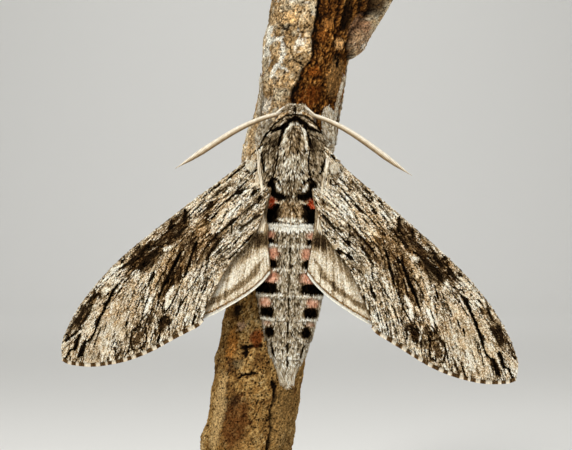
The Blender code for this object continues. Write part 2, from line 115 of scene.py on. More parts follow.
def spline(points, count):
    """count points at equal steps along a smooth curve through the given points."""
    p = np.asarray(points, dtype=float)
    ends = np.vstack([2 * p[0] - p[1], p, 2 * p[-1] - p[-2]])
    steps = 24
    t = (np.arange(steps) / steps)[:, None]
    fine = []
    for a, b, c, d in zip(ends, ends[1:], ends[2:], ends[3:]):
        fine.append(0.5 * (2 * b + (c - a) * t + (2 * a - 5 * b + 4 * c - d) * t**2
                           + (3 * b - a - 3 * c + d) * t**3))
    fine = np.vstack([*fine, p[-1:]])
    lengths = np.concatenate([[0], np.cumsum(np.linalg.norm(np.diff(fine, axis=0), axis=1))])
    wanted = np.linspace(0, lengths[-1], count)
    return np.stack([np.interp(wanted, lengths, fine[:, k]) for k in range(fine.shape[1])], axis=1)


def lattice(cell, seed):
    """A number from 0 to 1 for each whole-number cell."""
    n = cell[..., 0] * 374761393 + cell[..., 1] * 668265263 + cell[..., 2] * 1440662683 + seed * 97463477
    n = (n ^ (n >> 13)) * 1274126177 & 0x7FFFFFFF
    n = (n ^ (n >> 15)) * 668265263 & 0x7FFFFFFF
    return ((n ^ (n >> 12)) & 0xFFFF) / 0xFFFF


def stacked(coordinates):
    full = list(coordinates) + [0.0] * (3 - len(coordinates))
    return np.stack(np.broadcast_arrays(*full), axis=-1)


def noise(*coordinates, seed=0):
    """Smooth noise from -1 to 1, about one swing for each unit."""
    p = stacked(coordinates)
    low = np.floor(p).astype(np.int64)
    f = p - low
    f = f * f * (3 - 2 * f)
    total = 0.0
    for corner in range(8):
        step = np.array([corner & 1, corner >> 1 & 1, corner >> 2])
        weight = np.prod(np.where(step, f, 1 - f), axis=-1)
        total = total + weight * lattice(low + step, seed)
    return total * 2 - 1


def fractal(*coordinates, octaves=3, seed=0):
    """Noise with finer and weaker noise laid over it."""
    total, size = 0.0, 1.0
    for k in range(octaves):
        total = total + size * noise(*[c * 2.03**k for c in coordinates], seed=seed + 17 * k)
        size *= 0.55
    return total


def cells(*coordinates, seed=0):
    """Distance to the nearest of many scattered seeds, the gap to the next one, and the seed's own number."""
    p = stacked(coordinates)
    low = np.floor(p).astype(np.int64)
    near = np.full(p.shape[:-1], 9.0)
    after = np.full(p.shape[:-1], 9.0)
    number = np.zeros(p.shape[:-1])
    for k in range(27):
        cell = low + np.array([k % 3 - 1, k // 3 % 3 - 1, k // 9 - 1])
        d = np.sqrt(sum((cell[..., a] + lattice(cell, seed + 1 + a) - p[..., a]) ** 2 for a in range(3)))
        nearer = d < near
        after = np.where(nearer, near, np.minimum(after, d))
        number = np.where(nearer, lattice(cell, seed + 9), number)
        near = np.where(nearer, d, near)
    return near, after - near, number


def distance_to_path(x, y, path):
    """Distance from each place to a path of straight runs, and how far along it the nearest point is."""
    best = np.full(np.shape(x), 1e9)
    share = np.zeros(np.shape(x))
    path = np.asarray(path, dtype=float)
    runs = np.linalg.norm(np.diff(path, axis=0), axis=1)
    before = np.concatenate([[0], np.cumsum(runs)])
    for a, b, run, start in zip(path, path[1:], runs, before):
        t = np.clip(((x - a[0]) * (b[0] - a[0]) + (y - a[1]) * (b[1] - a[1])) / run**2, 0, 1)
        d = np.hypot(x - a[0] - t * (b[0] - a[0]), y - a[1] - t * (b[1] - a[1]))
        nearer = d < best
        best = np.where(nearer, d, best)
        share = np.where(nearer, (start + t * run) / before[-1], share)
    return best, share


# Markings
# Each place has a tone from black to white, a warmth from grey to ochre, and shares of rose and of rust.

TONES = np.array([0.0, 0.22, 0.45, 0.72, 1.0])
RAMPS = linear([
    [(2, 1, 1), (46, 38, 27), (122, 107, 82), (190, 178, 152), (252, 249, 238)],
    [(3, 2, 1), (68, 45, 22), (152, 115, 68), (214, 178, 128), (250, 230, 194)],
    [(20, 8, 6), (122, 66, 48), (214, 146, 114), (236, 184, 154), (250, 224, 206)],
    [(24, 6, 3), (132, 36, 15), (230, 84, 42), (242, 122, 74), (248, 172, 126)],
])


class Marks:
    """Tone, warmth, rose and rust of many places. calm says where speckles stay weak."""

    def __init__(self, like, tone, warmth):
        self.values = np.zeros((4, *np.shape(like)))
        self.values[0] = tone
        self.values[1] = warmth
        self.calm = 0.0

    def lay(self, cover, tone, warmth=0.3, rose=0.0, rust=0.0):
        """Lays one colour over the others, as far as the cover says for each place."""
        for k, value in enumerate((tone, warmth, rose, rust)):
            self.values[k] = mix(self.values[k], value, cover)

    def line(self, x, y, path, width, tone, warmth=0.2, strength=0.95, ends=0.12):
        """A tapered line of that half width."""
        d, share = distance_to_path(x, y, path)
        taper = np.minimum(smooth(share / ends), smooth((1 - share) / ends)) * 0.75 + 0.25
        self.lay(strength * smooth(1.5 - d / (width * taper)), tone, warmth)

    def patch(self, x, y, middle, size, lean, tone, warmth=0.3, strength=0.9, edge=0.45, rust=0.0, square=2.0,
              rose=0.0):
        """A soft oval that leans by so many degrees. A higher square makes it more like a block."""
        a = math.radians(lean)
        dx, dy = x - middle[0], y - middle[1]
        reach = (np.abs((dx * math.cos(a) + dy * math.sin(a)) / size[0]) ** square
                 + np.abs((dy * math.cos(a) - dx * math.sin(a)) / size[1]) ** square) ** (1 / square)
        self.lay(strength * smooth((1 + edge - reach) / (2 * edge)), tone, warmth, rose, rust)

    def speckle(self, rng, amount, clumps=0.0):
        """Some scales paler and some darker, singly and in clumps, most where the tone is pale."""
        tone = np.clip(self.values[0], 0, 1)
        grain = amount * rng.normal(0, 1, tone.shape) * (1 - 0.5 * self.calm) + clumps * (1 - self.calm)
        grain = grain * (1 - 0.55 * np.clip(self.values[2], 0, 1))
        self.values[0] = tone + grain * (0.09 + 3.0 * tone**1.5 * (1.12 - tone))
        self.values[1] = self.values[1] + rng.normal(0, 0.08, tone.shape)
        return self

    def colours(self):
        tone = np.clip(self.values[0], 0, 1)
        ramps = [np.stack([np.interp(tone, TONES, ramp[:, k]) for k in range(3)], axis=-1) for ramp in RAMPS]
        warm, rose, rust = np.clip(self.values[1:], 0, 1)[..., None]
        return mix(mix(mix(ramps[0], ramps[1], warm), ramps[2], rose), ramps[3], rust)


# Meshes and materials


def turned_outward(points, triangles):
    """Triangles of a closed mesh with their faces outward."""
    a, b, c = (points[triangles[:, k]] for k in range(3))
    volume = (a * np.cross(b, c)).sum()
    return triangles if volume > 0 else triangles[:, ::-1]


def mesh_object(name, points, triangles, material, colours=None, bake=None, rounded=True, place=to_world):
    """A mesh object from millimetre points, with a colour and a place on the bake map for each point."""
    mesh = bpy.data.meshes.new(name)
    points = np.asarray(points, dtype=float)
    if place is not None:
        points = place(points)
    triangles = np.ascontiguousarray(triangles, dtype=np.int32)
    mesh.vertices.add(len(points))
    mesh.vertices.foreach_set("co", (points * MM).astype(np.float32).ravel())
    mesh.loops.add(triangles.size)
    mesh.loops.foreach_set("vertex_index", triangles.ravel())
    mesh.polygons.add(len(triangles))
    mesh.polygons.foreach_set("loop_start", np.arange(0, triangles.size, 3, dtype=np.int32))
    mesh.update(calc_edges=True)
    if rounded:
        mesh.shade_smooth()
    else:
        mesh.shade_flat()
    if colours is not None:
        held = mesh.color_attributes.new("Marks", "FLOAT_COLOR", "POINT")
        rgba = np.ones((len(points), 4), dtype=np.float32)
        rgba[:, :3] = np.clip(colours, 0, 1)
        held.data.foreach_set("color", rgba.ravel())
    if bake is not None:
        layer = mesh.uv_layers.new(name="OFBake")
        layer.data.foreach_set("uv", bake[triangles.ravel()].astype(np.float32).ravel())
    mesh.materials.append(material)
    obj = bpy.data.objects.new(name, mesh)
    bpy.context.scene.collection.objects.link(obj)
    return obj


def settle(piece, slot, *nodes):
    """Puts a piece on the body, in the place of its nodes. The slot is not used."""
    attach(piece, BODY)
    if nodes:
        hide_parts(*nodes)


def add_piece(name, mesh, material, slot, *nodes, place=to_world):
    """A settled piece from its points, its triangles and its colours, or None for those."""
    points, triangles, colours = mesh
    piece = mesh_object(name, points, triangles, MATERIALS[material], colours, place=place)
    settle(piece, slot, *nodes)
    return piece


def new_material(name, roughness, specular=0.5, metallic=0.0):
    made = bpy.data.materials.new(name)
    made.use_nodes = True
    shader = made.node_tree.nodes["Principled BSDF"]
    shader.inputs["Roughness"].default_value = roughness
    shader.inputs["Specular IOR Level"].default_value = specular
    shader.inputs["Metallic"].default_value = metallic
    return made, made.node_tree, shader


def add_node(tree, kind, **values):
    """A node with some of its settings and, by their names, the values of its sockets."""
    node = tree.nodes.new(kind)
    for key, value in values.items():
        if hasattr(node, key):
            setattr(node, key, value)
        else:
            node.inputs[key.replace("_", " ")].default_value = value
    return node


def wire(tree, *wires):
    """Links nodes. Each wire is a node, its output, the next node and its input."""
    for source, output, target, socket in wires:
        tree.links.new(source.outputs[output], target.inputs[socket])


def marked_material(name, roughness, specular, grain, grain_share, bump, bump_size, pits=0.0):
    """Takes its colour from the marks, broken up by fine grain and dark pits, with a fine bump."""
    made, tree, shader = new_material(name, roughness, specular)
    marks = add_node(tree, "ShaderNodeVertexColor", layer_name="Marks")
    place = add_node(tree, "ShaderNodeNewGeometry")
    fine = add_node(tree, "ShaderNodeTexNoise", Scale=grain, Detail=3.0)
    spread = add_node(tree, "ShaderNodeMapRange", From_Min=0.3, From_Max=0.7,
                      To_Min=1 - grain_share, To_Max=1 + grain_share)
    tint = add_node(tree, "ShaderNodeVectorMath", operation="SCALE")
    wire(tree, (place, "Position", fine, "Vector"), (fine, "Fac", spread, "Value"), (marks, "Color", tint, 0))
    shade = (spread, "Result")
    if pits:
        holes = add_node(tree, "ShaderNodeTexVoronoi", Scale=pits)
        depth = add_node(tree, "ShaderNodeMapRange", From_Min=0.16, From_Max=0.34, To_Min=0.16, To_Max=1.06)
        darker = add_node(tree, "ShaderNodeMath", operation="MULTIPLY")
        wire(tree, (place, "Position", holes, "Vector"), (holes, "Distance", depth, "Value"),
             (depth, "Result", darker, 0), (*shade, darker, 1))
        shade = (darker, "Value")
    wire(tree, (*shade, tint, "Scale"), (tint, "Vector", shader, "Base Color"))
    if bump:
        rough = add_node(tree, "ShaderNodeBump", Strength=bump, Distance=bump_size * MM)
        wire(tree, (fine, "Fac", rough, "Height"), (rough, "Normal", shader, "Normal"))
    return made


def ramp_material(name, roughness, texture, tones, stretch=(1, 1, 1), bump=0.3, bump_size=0.02, specular=0.5,
                  metallic=0.0, **texture_values):
    """Takes its colour from a texture through a run of tones, with a bump of the same texture."""
    made, tree, shader = new_material(name, roughness, specular, metallic)
    place = add_node(tree, "ShaderNodeNewGeometry")
    scaled = add_node(tree, "ShaderNodeVectorMath", operation="MULTIPLY")
    scaled.inputs[1].default_value = stretch
    pattern = add_node(tree, texture, **texture_values)
    colour = add_node(tree, "ShaderNodeValToRGB")
    colour.color_ramp.elements[0].color = (*linear(tones[0]), 1)
    colour.color_ramp.elements[1].color = (*linear(tones[-1]), 1)
    for k, tone in enumerate(tones[1:-1], 1):
        colour.color_ramp.elements.new(k / (len(tones) - 1)).color = (*linear(tone), 1)
    rough = add_node(tree, "ShaderNodeBump", Strength=bump, Distance=bump_size * MM)
    wire(tree, (place, "Position", scaled, 0), (scaled, "Vector", pattern, "Vector"),
         (pattern, 0, colour, "Fac"), (colour, "Color", shader, "Base Color"),
         (pattern, 0, rough, "Height"), (rough, "Normal", shader, "Normal"))
    return made


MATERIALS = {
    "scales": marked_material("moth_scales", 0.75, 0.0, 3000.0, 0.2, 0.0, 0.0),
    "skin": marked_material("moth_skin", 0.8, 0.02, 3400.0, 0.25, 0.5, 0.08),
    "leg": marked_material("leg_scales", 0.68, 0.15, 3000.0, 0.15, 0.3, 0.05),
    "antenna": marked_material("antenna_scales", 0.55, 0.3, 3200.0, 0.12, 0.3, 0.05),
    "bark": marked_material("bark_surface", 0.9, 0.02, 3400.0, 0.7, 0.6, 0.3, 1500.0),
    "eye": ramp_material("compound_eye", 0.12, "ShaderNodeTexVoronoi", [(18, 11, 8), (66, 46, 34)], bump=0.2,
                         specular=0.6, Scale=8000.0),
    "claw": ramp_material("claw_horn", 0.3, "ShaderNodeTexNoise", [(30, 17, 10), (96, 62, 38)], Scale=1800.0),
    "base_wood": ramp_material("turned_walnut", 0.42, "ShaderNodeTexNoise",
                               [(38, 22, 13), (62, 37, 22), (84, 52, 31), (104, 68, 42)],
                               stretch=(9.0, 1.0, 1.0), bump=0.15, bump_size=0.05, Scale=90.0, Detail=6.0,
                               Distortion=0.6),
    "rod_metal": ramp_material("brushed_rod", 0.34, "ShaderNodeTexNoise", [(150, 147, 140), (196, 193, 186)],
                               stretch=(1.0, 1.0, 0.03), bump=0.12, bump_size=0.01, metallic=1.0,
                               Scale=5200.0, Detail=2.0),
}


# Surfaces


class Sheet:
    """A surface held as rows along it and columns across it. Its columns may close into a ring."""

    def __init__(self, points, closed=False, outward=1):
        self.closed = closed
        self.points = points
        wide = points
        across = np.gradient(points, axis=1)
        if closed:
            wide = np.concatenate([points, points[:, :1]], axis=1)
            across = np.concatenate([points[:, -1:], wide], axis=1)
            across = across[:, 2:] - across[:, :-2]
        self.along = unit(np.gradient(points, axis=0))
        self.normals = unit(np.cross(across, self.along)) * outward
        if closed:
            away = points - points.mean(axis=1, keepdims=True)
            self.normals = self.normals * np.sign((self.normals * away).sum())
        step_along = np.diff(wide, axis=0)[:, :-1]
        step_across = np.diff(wide, axis=1)[:-1]
        self.cell_area = np.linalg.norm(np.cross(step_across, step_along), axis=-1)

    def read(self, grid, row, column):
        """The grid's values at fractions of rows and columns."""
        if self.closed:
            grid = np.concatenate([grid, grid[:, :1]], axis=1)
        r = np.clip(row, 0, grid.shape[0] - 1.000001)
        c = np.clip(column, 0, grid.shape[1] - 1.000001)
        i, j = r.astype(int), c.astype(int)
        fr, fc = r - i, c - j
        if grid.ndim == 3:
            fr, fc = fr[:, None], fc[:, None]
        return ((grid[i, j] * (1 - fc) + grid[i, j + 1] * fc) * (1 - fr)
                + (grid[i + 1, j] * (1 - fc) + grid[i + 1, j + 1] * fc) * fr)

    def spread(self, count, density=1.0, seed=0.5):
        """Even places over the surface, as fractions of rows and columns, by area and density."""
        area = self.cell_area * density
        k = np.arange(count)
        a = (seed + k * 0.7548776662466927) % 1.0
        b = (seed * 0.37 + k * 0.5698402909980532) % 1.0
        rows = np.concatenate([[0], np.cumsum(area.sum(axis=1))])
        rows = rows / rows[-1]
        i = np.clip(np.searchsorted(rows, a, side="right") - 1, 0, area.shape[0] - 1)
        row = i + (a - rows[i]) / np.maximum(rows[i + 1] - rows[i], 1e-12)
        lines = np.concatenate([np.zeros((area.shape[0], 1)), np.cumsum(area, axis=1)], axis=1)
        mine = (lines / np.maximum(lines[:, -1:], 1e-12))[i]
        j = np.clip((mine <= b[:, None]).sum(axis=1) - 1, 0, area.shape[1] - 1)
        before = np.take_along_axis(mine, j[:, None], 1)[:, 0]
        after = np.take_along_axis(mine, j[:, None] + 1, 1)[:, 0]
        return row, j + (b - before) / np.maximum(after - before, 1e-12)

    def frame_at(self, row, column):
        """Place, lie and outward direction."""
        return (self.read(self.points, row, column), unit(self.read(self.along, row, column)),
                unit(self.read(self.normals, row, column)))

    def unrolled(self, row, column):
        """The same places on the bake map, from 0 to 1."""
        rows, columns = self.points.shape[:2]
        return column / columns, row / (rows - 1)


def grid_triangles(rows, columns, closed=False, start=0):
    """Triangles of a grid of points numbered row by row."""
    last = columns if closed else columns - 1
    i, j = np.meshgrid(np.arange(rows - 1), np.arange(last), indexing="ij")
    a = (i * columns + j).ravel() + start
    b = (i * columns + (j + 1) % columns).ravel() + start
    c, d = a + columns, b + columns
    return np.concatenate([np.stack([a, b, d], axis=1), np.stack([a, d, c], axis=1)])


def ring_mesh(rings, colours=None):
    """Points, triangles and colours of a closed skin over rings, with a fan at each end."""
    rows, columns = rings.shape[:2]
    ends = np.stack([rings[0].mean(axis=0), rings[-1].mean(axis=0)])
    k = np.arange(columns)
    after = (k + 1) % columns
    first = np.stack([after, k, np.full(columns, rows * columns)], axis=1)
    base = (rows - 1) * columns
    last = np.stack([base + k, base + after, np.full(columns, rows * columns + 1)], axis=1)
    points = np.concatenate([rings.reshape(-1, 3), ends])
    faces = turned_outward(points, np.concatenate([grid_triangles(rows, columns, closed=True), first, last]))
    if colours is not None:
        caps = [colours[:1].mean(axis=1), colours[-1:].mean(axis=1)]
        colours = np.concatenate([colours.reshape(-1, 3), *caps])
    return points, faces, colours


def thin_shell(top, bottom):
    """A closed thin body between two grids of points with the same rows and columns."""
    rows, columns = top.shape[:2]
    count = rows * columns
    n = np.arange(count).reshape(rows, columns)
    rim = np.concatenate([n[0, :-1], n[:-1, -1], n[-1, :0:-1], n[:0:-1, 0]])
    after = np.roll(rim, -1)
    faces = [grid_triangles(rows, columns), grid_triangles(rows, columns, start=count)[:, ::-1],
             np.stack([rim, rim + count, after + count], axis=1),
             np.stack([rim, after + count, after], axis=1)]
    points = np.concatenate([top.reshape(-1, 3), bottom.reshape(-1, 3)])
    return points, turned_outward(points, np.concatenate(faces))


def joined(parts):
    """Several meshes of points, triangles and colours, or None for those, as one."""
    points, faces, colours = zip(*parts)
    start = np.cumsum([0] + [len(p) for p in points])
    faces = np.concatenate([f + n for f, n in zip(faces, start)])
    return np.concatenate(points), faces, None if colours[0] is None else np.concatenate(colours)


def bake_patches(u, v, corners):
    """Each tuft's small patch at its root's place on the bake map."""
    place = np.stack([0.004 + 0.992 * u, 0.004 + 0.992 * v], axis=-1)
    return (place[:, None, :] + np.asarray(corners)[None] * 0.0015).reshape(-1, 2)


class Coat:
    """Collects closed scales, locks and strands that make up one coat piece."""

    def __init__(self, name, seed):
        self.name = name
        self.rng = np.random.default_rng(seed)
        self.points, self.faces, self.colours, self.bake = [], [], [], []
        self.count = 0

    def add(self, points, faces, shade, colours, bake):
        """Adds tufts of one form. Each corner has its own share of its tuft's colour; the darker roots are
        partly the tuft's own tones and partly painted shade in the gaps between tufts.
        """
        tufts, corners = points.shape[:2]
        numbers = self.count + np.arange(tufts)[:, None, None] * corners
        self.points.append(points.reshape(-1, 3))
        self.faces.append((np.asarray(faces)[None] + numbers).reshape(-1, 3))
        self.colours.append((colours[:, None, :] * np.asarray(shade)[None, :, None]).reshape(-1, 3))
        self.bake.append(bake)
        self.count += tufts * corners

    def scales(self, root, along, normal, length, width, rise, colours, place, tip=0.75):
        """Flat scales of four triangles each, which overlap like shingles."""
        side = np.cross(along, normal)
        w = (width / 2)[:, None] * side
        reach = length[:, None] * along
        lift = normal * rise[:, None]
        thick = normal * 0.025
        points = np.stack([root - w, root + w + thick, root + reach + w * tip + lift,
                           root + reach - w * tip + lift + thick], axis=1)
        faces = [(0, 1, 3), (1, 2, 3), (0, 3, 2), (0, 2, 1)]
        # Darker root corners and paler tips: partly the scale's own tones, partly painted shade in the gaps
        # between overlapping scales.
        self.add(points, faces, [0.42, 0.52, 1.16, 1.06], colours,
                 bake_patches(*place, [(-1, -1), (1, -1), (1, 1), (-1, 1)]))

    def locks(self, root, along, normal, length, width, rise, bend, colours, place):
        """Curved tapered locks of three sides, rooted under the surface."""
        side = np.cross(along, normal)
        w, reach = (width / 2)[:, None], length[:, None] * along
        middle = root + reach * 0.5 + normal * (rise * 0.55 + bend)[:, None]
        tip = root + reach + normal * rise[:, None]
        foot = root - normal * 0.1
        points = np.stack([foot - side * w, foot + side * w, foot + normal * w * 1.1,
                           middle - side * w * 0.85, middle + side * w * 0.85, middle + normal * w * 0.7,
                           tip], axis=1)
        faces = [(0, 2, 1), (0, 1, 4), (0, 4, 3), (1, 2, 5), (1, 5, 4), (2, 0, 3), (2, 3, 5), (3, 4, 6),
                 (4, 5, 6), (5, 3, 6)]
        corners = [(-1, -1), (1, -1), (0, -1), (-1, 0), (1, 0), (0, 0), (0, 1)]
        # Darker root corners and paler tips: partly the hair's own tones, partly painted shade deep between
        # the locks.
        self.add(points, faces, [0.35, 0.35, 0.45, 0.85, 0.85, 1.1, 1.12], colours,
                 bake_patches(*place, corners))

    def strands(self, paths, width, colours, place):
        """Long tapered strands of three sides, each along its own path of points."""
        count, steps = paths.shape[:2]
        ahead = unit(np.gradient(paths, axis=1))
        side = unit(np.cross(ahead, np.array([0.0, 1.0, 0.02])))
        over = np.cross(side, ahead)
        w = width[:, None, None] / 2 * (1 - 0.7 * np.linspace(0, 1, steps)[None, :, None] ** 2)
        rings = np.stack([paths - side * w - over * w * 0.5, paths + side * w - over * w * 0.5,
                          paths + over * w], axis=2)[:, :-1]
        points = np.concatenate([rings.reshape(count, -1, 3), paths[:, -1:]], axis=1)
        faces = [(0, 2, 1)]
        for k in range(steps - 2):
            for j in range(3):
                a, b = 3 * k + j, 3 * k + (j + 1) % 3
                faces += [(a, b, b + 3), (a, b + 3, a + 3)]
        top = 3 * (steps - 2)
        faces += [(top + j, top + (j + 1) % 3, top + 3) for j in range(3)]
        # Darker at the root, paler at the tip: partly the hair's own tones, partly painted shade deep in the
        # tuft.
        shade = np.append(np.repeat(np.linspace(0.65, 1.08, steps - 1), 3), 1.1)
        corners = [(j - 1, 2 * k / (steps - 1) - 1) for k in range(steps - 1) for j in range(3)] + [(0, 1)]
        self.add(points, faces, shade, colours, bake_patches(*place, corners))

    def finish(self, slot, place=to_world):
        """Makes the coat piece of all that was added."""
        piece = mesh_object(self.name, np.concatenate(self.points), np.concatenate(self.faces),
                            MATERIALS["scales"], np.concatenate(self.colours), np.concatenate(self.bake),
                            rounded=False, place=place)
        settle(piece, slot)


# Wings

# The slope of the roof that the wings make, and how far they are swept back, more so on the right.
ROOF_SLOPE = math.radians(21)
WING_SWEEP = math.radians(42.4)
SWEEP_SKEW = math.radians(0.5)
WING_ROOT = (5.4, -2.6, 10.2)
FOREWING_LENGTH = 52.4
# The arch across a wing and its chord, the droop at the tip, how far the hindwing lies under the forewing,
# half the skin's thickness and the height of its veins.
CAMBER = 0.9
CAMBER_CHORD = 19.0
TIP_DROOP = 1.8
LAYER_DROP = 1.2
SKIN_HALF = 0.12
VEIN_RISE = 0.12
# Half width of a vein, as a share of the way across the wing.
VEIN_WIDTH = 0.014
# The markings are set out on a wing a little longer than this one.
MARK_STRETCH = 1.022
# The angle from the wing's long axis of the outer hind veins, and the length of a check of the fringe.
VEIN_SLANT = math.radians(27)
CHECK_LENGTH = 1.0
# A scale or lock shows its colour about this share of its length from its root.
SEEN_SHARE = 0.65
# Length and width of the scales above and below a wing.
UPPER_SCALE = (0.39, 0.175)
LOWER_SCALE = (0.7, 0.30)

FORE_COSTA = [(-2.6, -2.4), (4, -2.3), (16, -3.7), (28, -4.95), (33, -5.15), (38, -4.95), (43, -4.3),
              (47.5, -3.0), (50.6, -1.5), (52.4, 0.6)]
FORE_TERMEN = [(52.4, 0.6), (51.2, 2.5), (48, 5.5), (44.3, 7.9), (40.6, 9.75), (36.6, 11.2), (32, 12.4),
               (28, 13.3), (26.4, 13.6), (25, 13.4)]
FORE_INNER = [(1.2, 4.8), (3.9, 6.3), (6.6, 7.9), (10.2, 8.9), (14.2, 9.4), (18, 10.5), (22.5, 12.2),
              (25, 13.4)]
HIND_COSTA = [(0.6, 1.0), (6, 1.2), (14, 1.6), (22, 2.6), (28, 4.2), (31.5, 6.2)]
HIND_TERMEN = [(31.5, 6.2), (31.8, 8.2), (29.6, 10.9), (25, 13.1), (20, 14.4), (16.6, 15.05), (13.2, 15.3),
               (10.7, 15.1)]
HIND_INNER = [(1.6, 4.4), (4.4, 6.4), (6.0, 8.4), (7.6, 10.6), (9.3, 13.1), (10.7, 15.1)]
# Veins: share of the way back across the wing, and how far out each one starts.
FORE_VEINS = [(0.09, 0.0), (0.2, 0.32), (0.31, 0.0), (0.42, 0.45), (0.54, 0.45), (0.66, 0.3), (0.78, 0.0),
              (0.9, 0.0)]
HIND_VEINS = [(0.1, 0.0), (0.27, 0.3), (0.42, 0.4), (0.57, 0.4), (0.72, 0.0), (0.88, 0.0)]

# Soft ovals of the forewing: middle, half sizes, lean in degrees, tone, warmth, strength.
FORE_PATCHES = [
    ((4.5, -1.0), (5.0, 1.7), 2, 0.46, 0.25, 0.9),
    ((6.5, 2.6), (5.2, 1.5), 0, 0.70, 0.10, 0.9),
    ((7.0, 4.9), (5.0, 1.2), 2, 0.48, 0.30, 0.9),
    ((7.8, 6.4), (2.8, 0.5), 0, 0.22, 0.35, 0.9),
    ((13.6, -2.3), (4.2, 1.4), -4, 0.66, 0.20, 0.9),
    ((12.6, 1.4), (4.4, 1.6), 4, 0.68, 0.62, 0.9),
    ((16.8, 2.0), (3.0, 1.7), 8, 0.48, 0.95, 0.9),
    ((12.4, 3.0), (2.4, 0.8), 12, 0.76, 0.40, 0.9),
    ((15.6, 4.9), (4.2, 1.2), 10, 0.20, 0.50, 0.9),
    ((11.5, 6.6), (4.5, 1.3), 4, 0.54, 0.10, 0.9),
    ((19.0, 7.6), (4.6, 1.7), 12, 0.52, 0.12, 0.9),
    ((15.6, 7.8), (2.6, 1.0), 10, 0.34, 0.12, 0.8),
    ((22.5, 3.2), (6.8, 2.4), 15, 0.25, 0.60, 0.95),
    ((25.4, 4.2), (5.2, 1.2), 20, 0.22, 0.60, 0.9),
    ((15.2, -2.6), (1.3, 0.9), 0, 0.84, 0.25, 0.9),
    ((20.0, -2.1), (3.7, 1.9), -3, 0.16, 0.50, 0.95),
    ((26.6, -2.3), (5.2, 2.3), -2, 0.13, 0.50, 0.95),
    ((19.4, -0.7), (2.6, 0.7), 0, 0.16, 0.50, 0.9),
    ((27.2, -0.9), (3.5, 1.1), 4, 0.16, 0.45, 0.9),
    ((22.0, 1.2), (3.4, 0.7), 4, 0.30, 0.65, 0.8),
    ((23.4, -4.0), (3.3, 0.6), -8, 0.50, 0.35, 0.85),
    ((29.4, -4.5), (0.9, 0.4), 0, 0.56, 0.50, 0.8),
    ((35.6, -4.2), (3.4, 1.0), -1, 0.86, 0.20, 0.9),
    ((35.4, -2.9), (3.4, 0.9), 2, 0.66, 0.35, 0.8),
    ((37.8, 1.8), (6.2, 3.3), 15, 0.62, 0.45, 0.8),
    ((33.2, 0.2), (2.4, 1.4), 15, 0.54, 0.40, 0.8),
    ((31.2, -1.0), (1.0, 0.9), 0, 0.82, 0.25, 0.85),
    ((41.2, -2.9), (1.6, 0.8), 20, 0.30, 0.50, 0.85),
    ((45.0, -2.2), (3.5, 1.2), 10, 0.16, 0.42, 0.9),
    ((46.0, -3.9), (3.6, 0.5), 16, 0.44, 0.40, 0.8),
    ((49.4, -1.7), (1.8, 0.6), 25, 0.34, 0.35, 0.8),
    ((51.6, 0.0), (1.9, 1.1), 30, 0.88, 0.20, 0.9),
    ((48.4, 2.2), (2.5, 0.8), 18, 0.18, 0.40, 0.9),
    ((45.4, 0.6), (2.0, 0.7), 24, 0.86, 0.40, 0.9),
    ((42.4, -0.9), (2.2, 0.5), 16, 0.72, 0.45, 0.7),
    ((43.0, 5.0), (3.8, 2.2), 28, 0.74, 0.28, 0.85),
    ((34.4, 7.2), (3.6, 1.5), 8, 0.28, 0.38, 0.85),
    ((32.4, 9.2), (2.2, 0.9), 12, 0.10, 0.45, 0.9),
    ((37.0, 7.2), (1.7, 1.1), 20, 0.26, 0.45, 0.85),
    ((26.6, 11.2), (3.4, 1.4), -4, 0.76, 0.12, 0.85),
    ((22.6, 8.9), (3.2, 1.1), 18, 0.57, 0.20, 0.8),
    ((29.6, 10.8), (1.6, 1.2), 10, 0.56, 0.30, 0.7),
    ((40.6, 10.0), (2.8, 0.9), -28, 0.66, 0.18, 0.7),
]

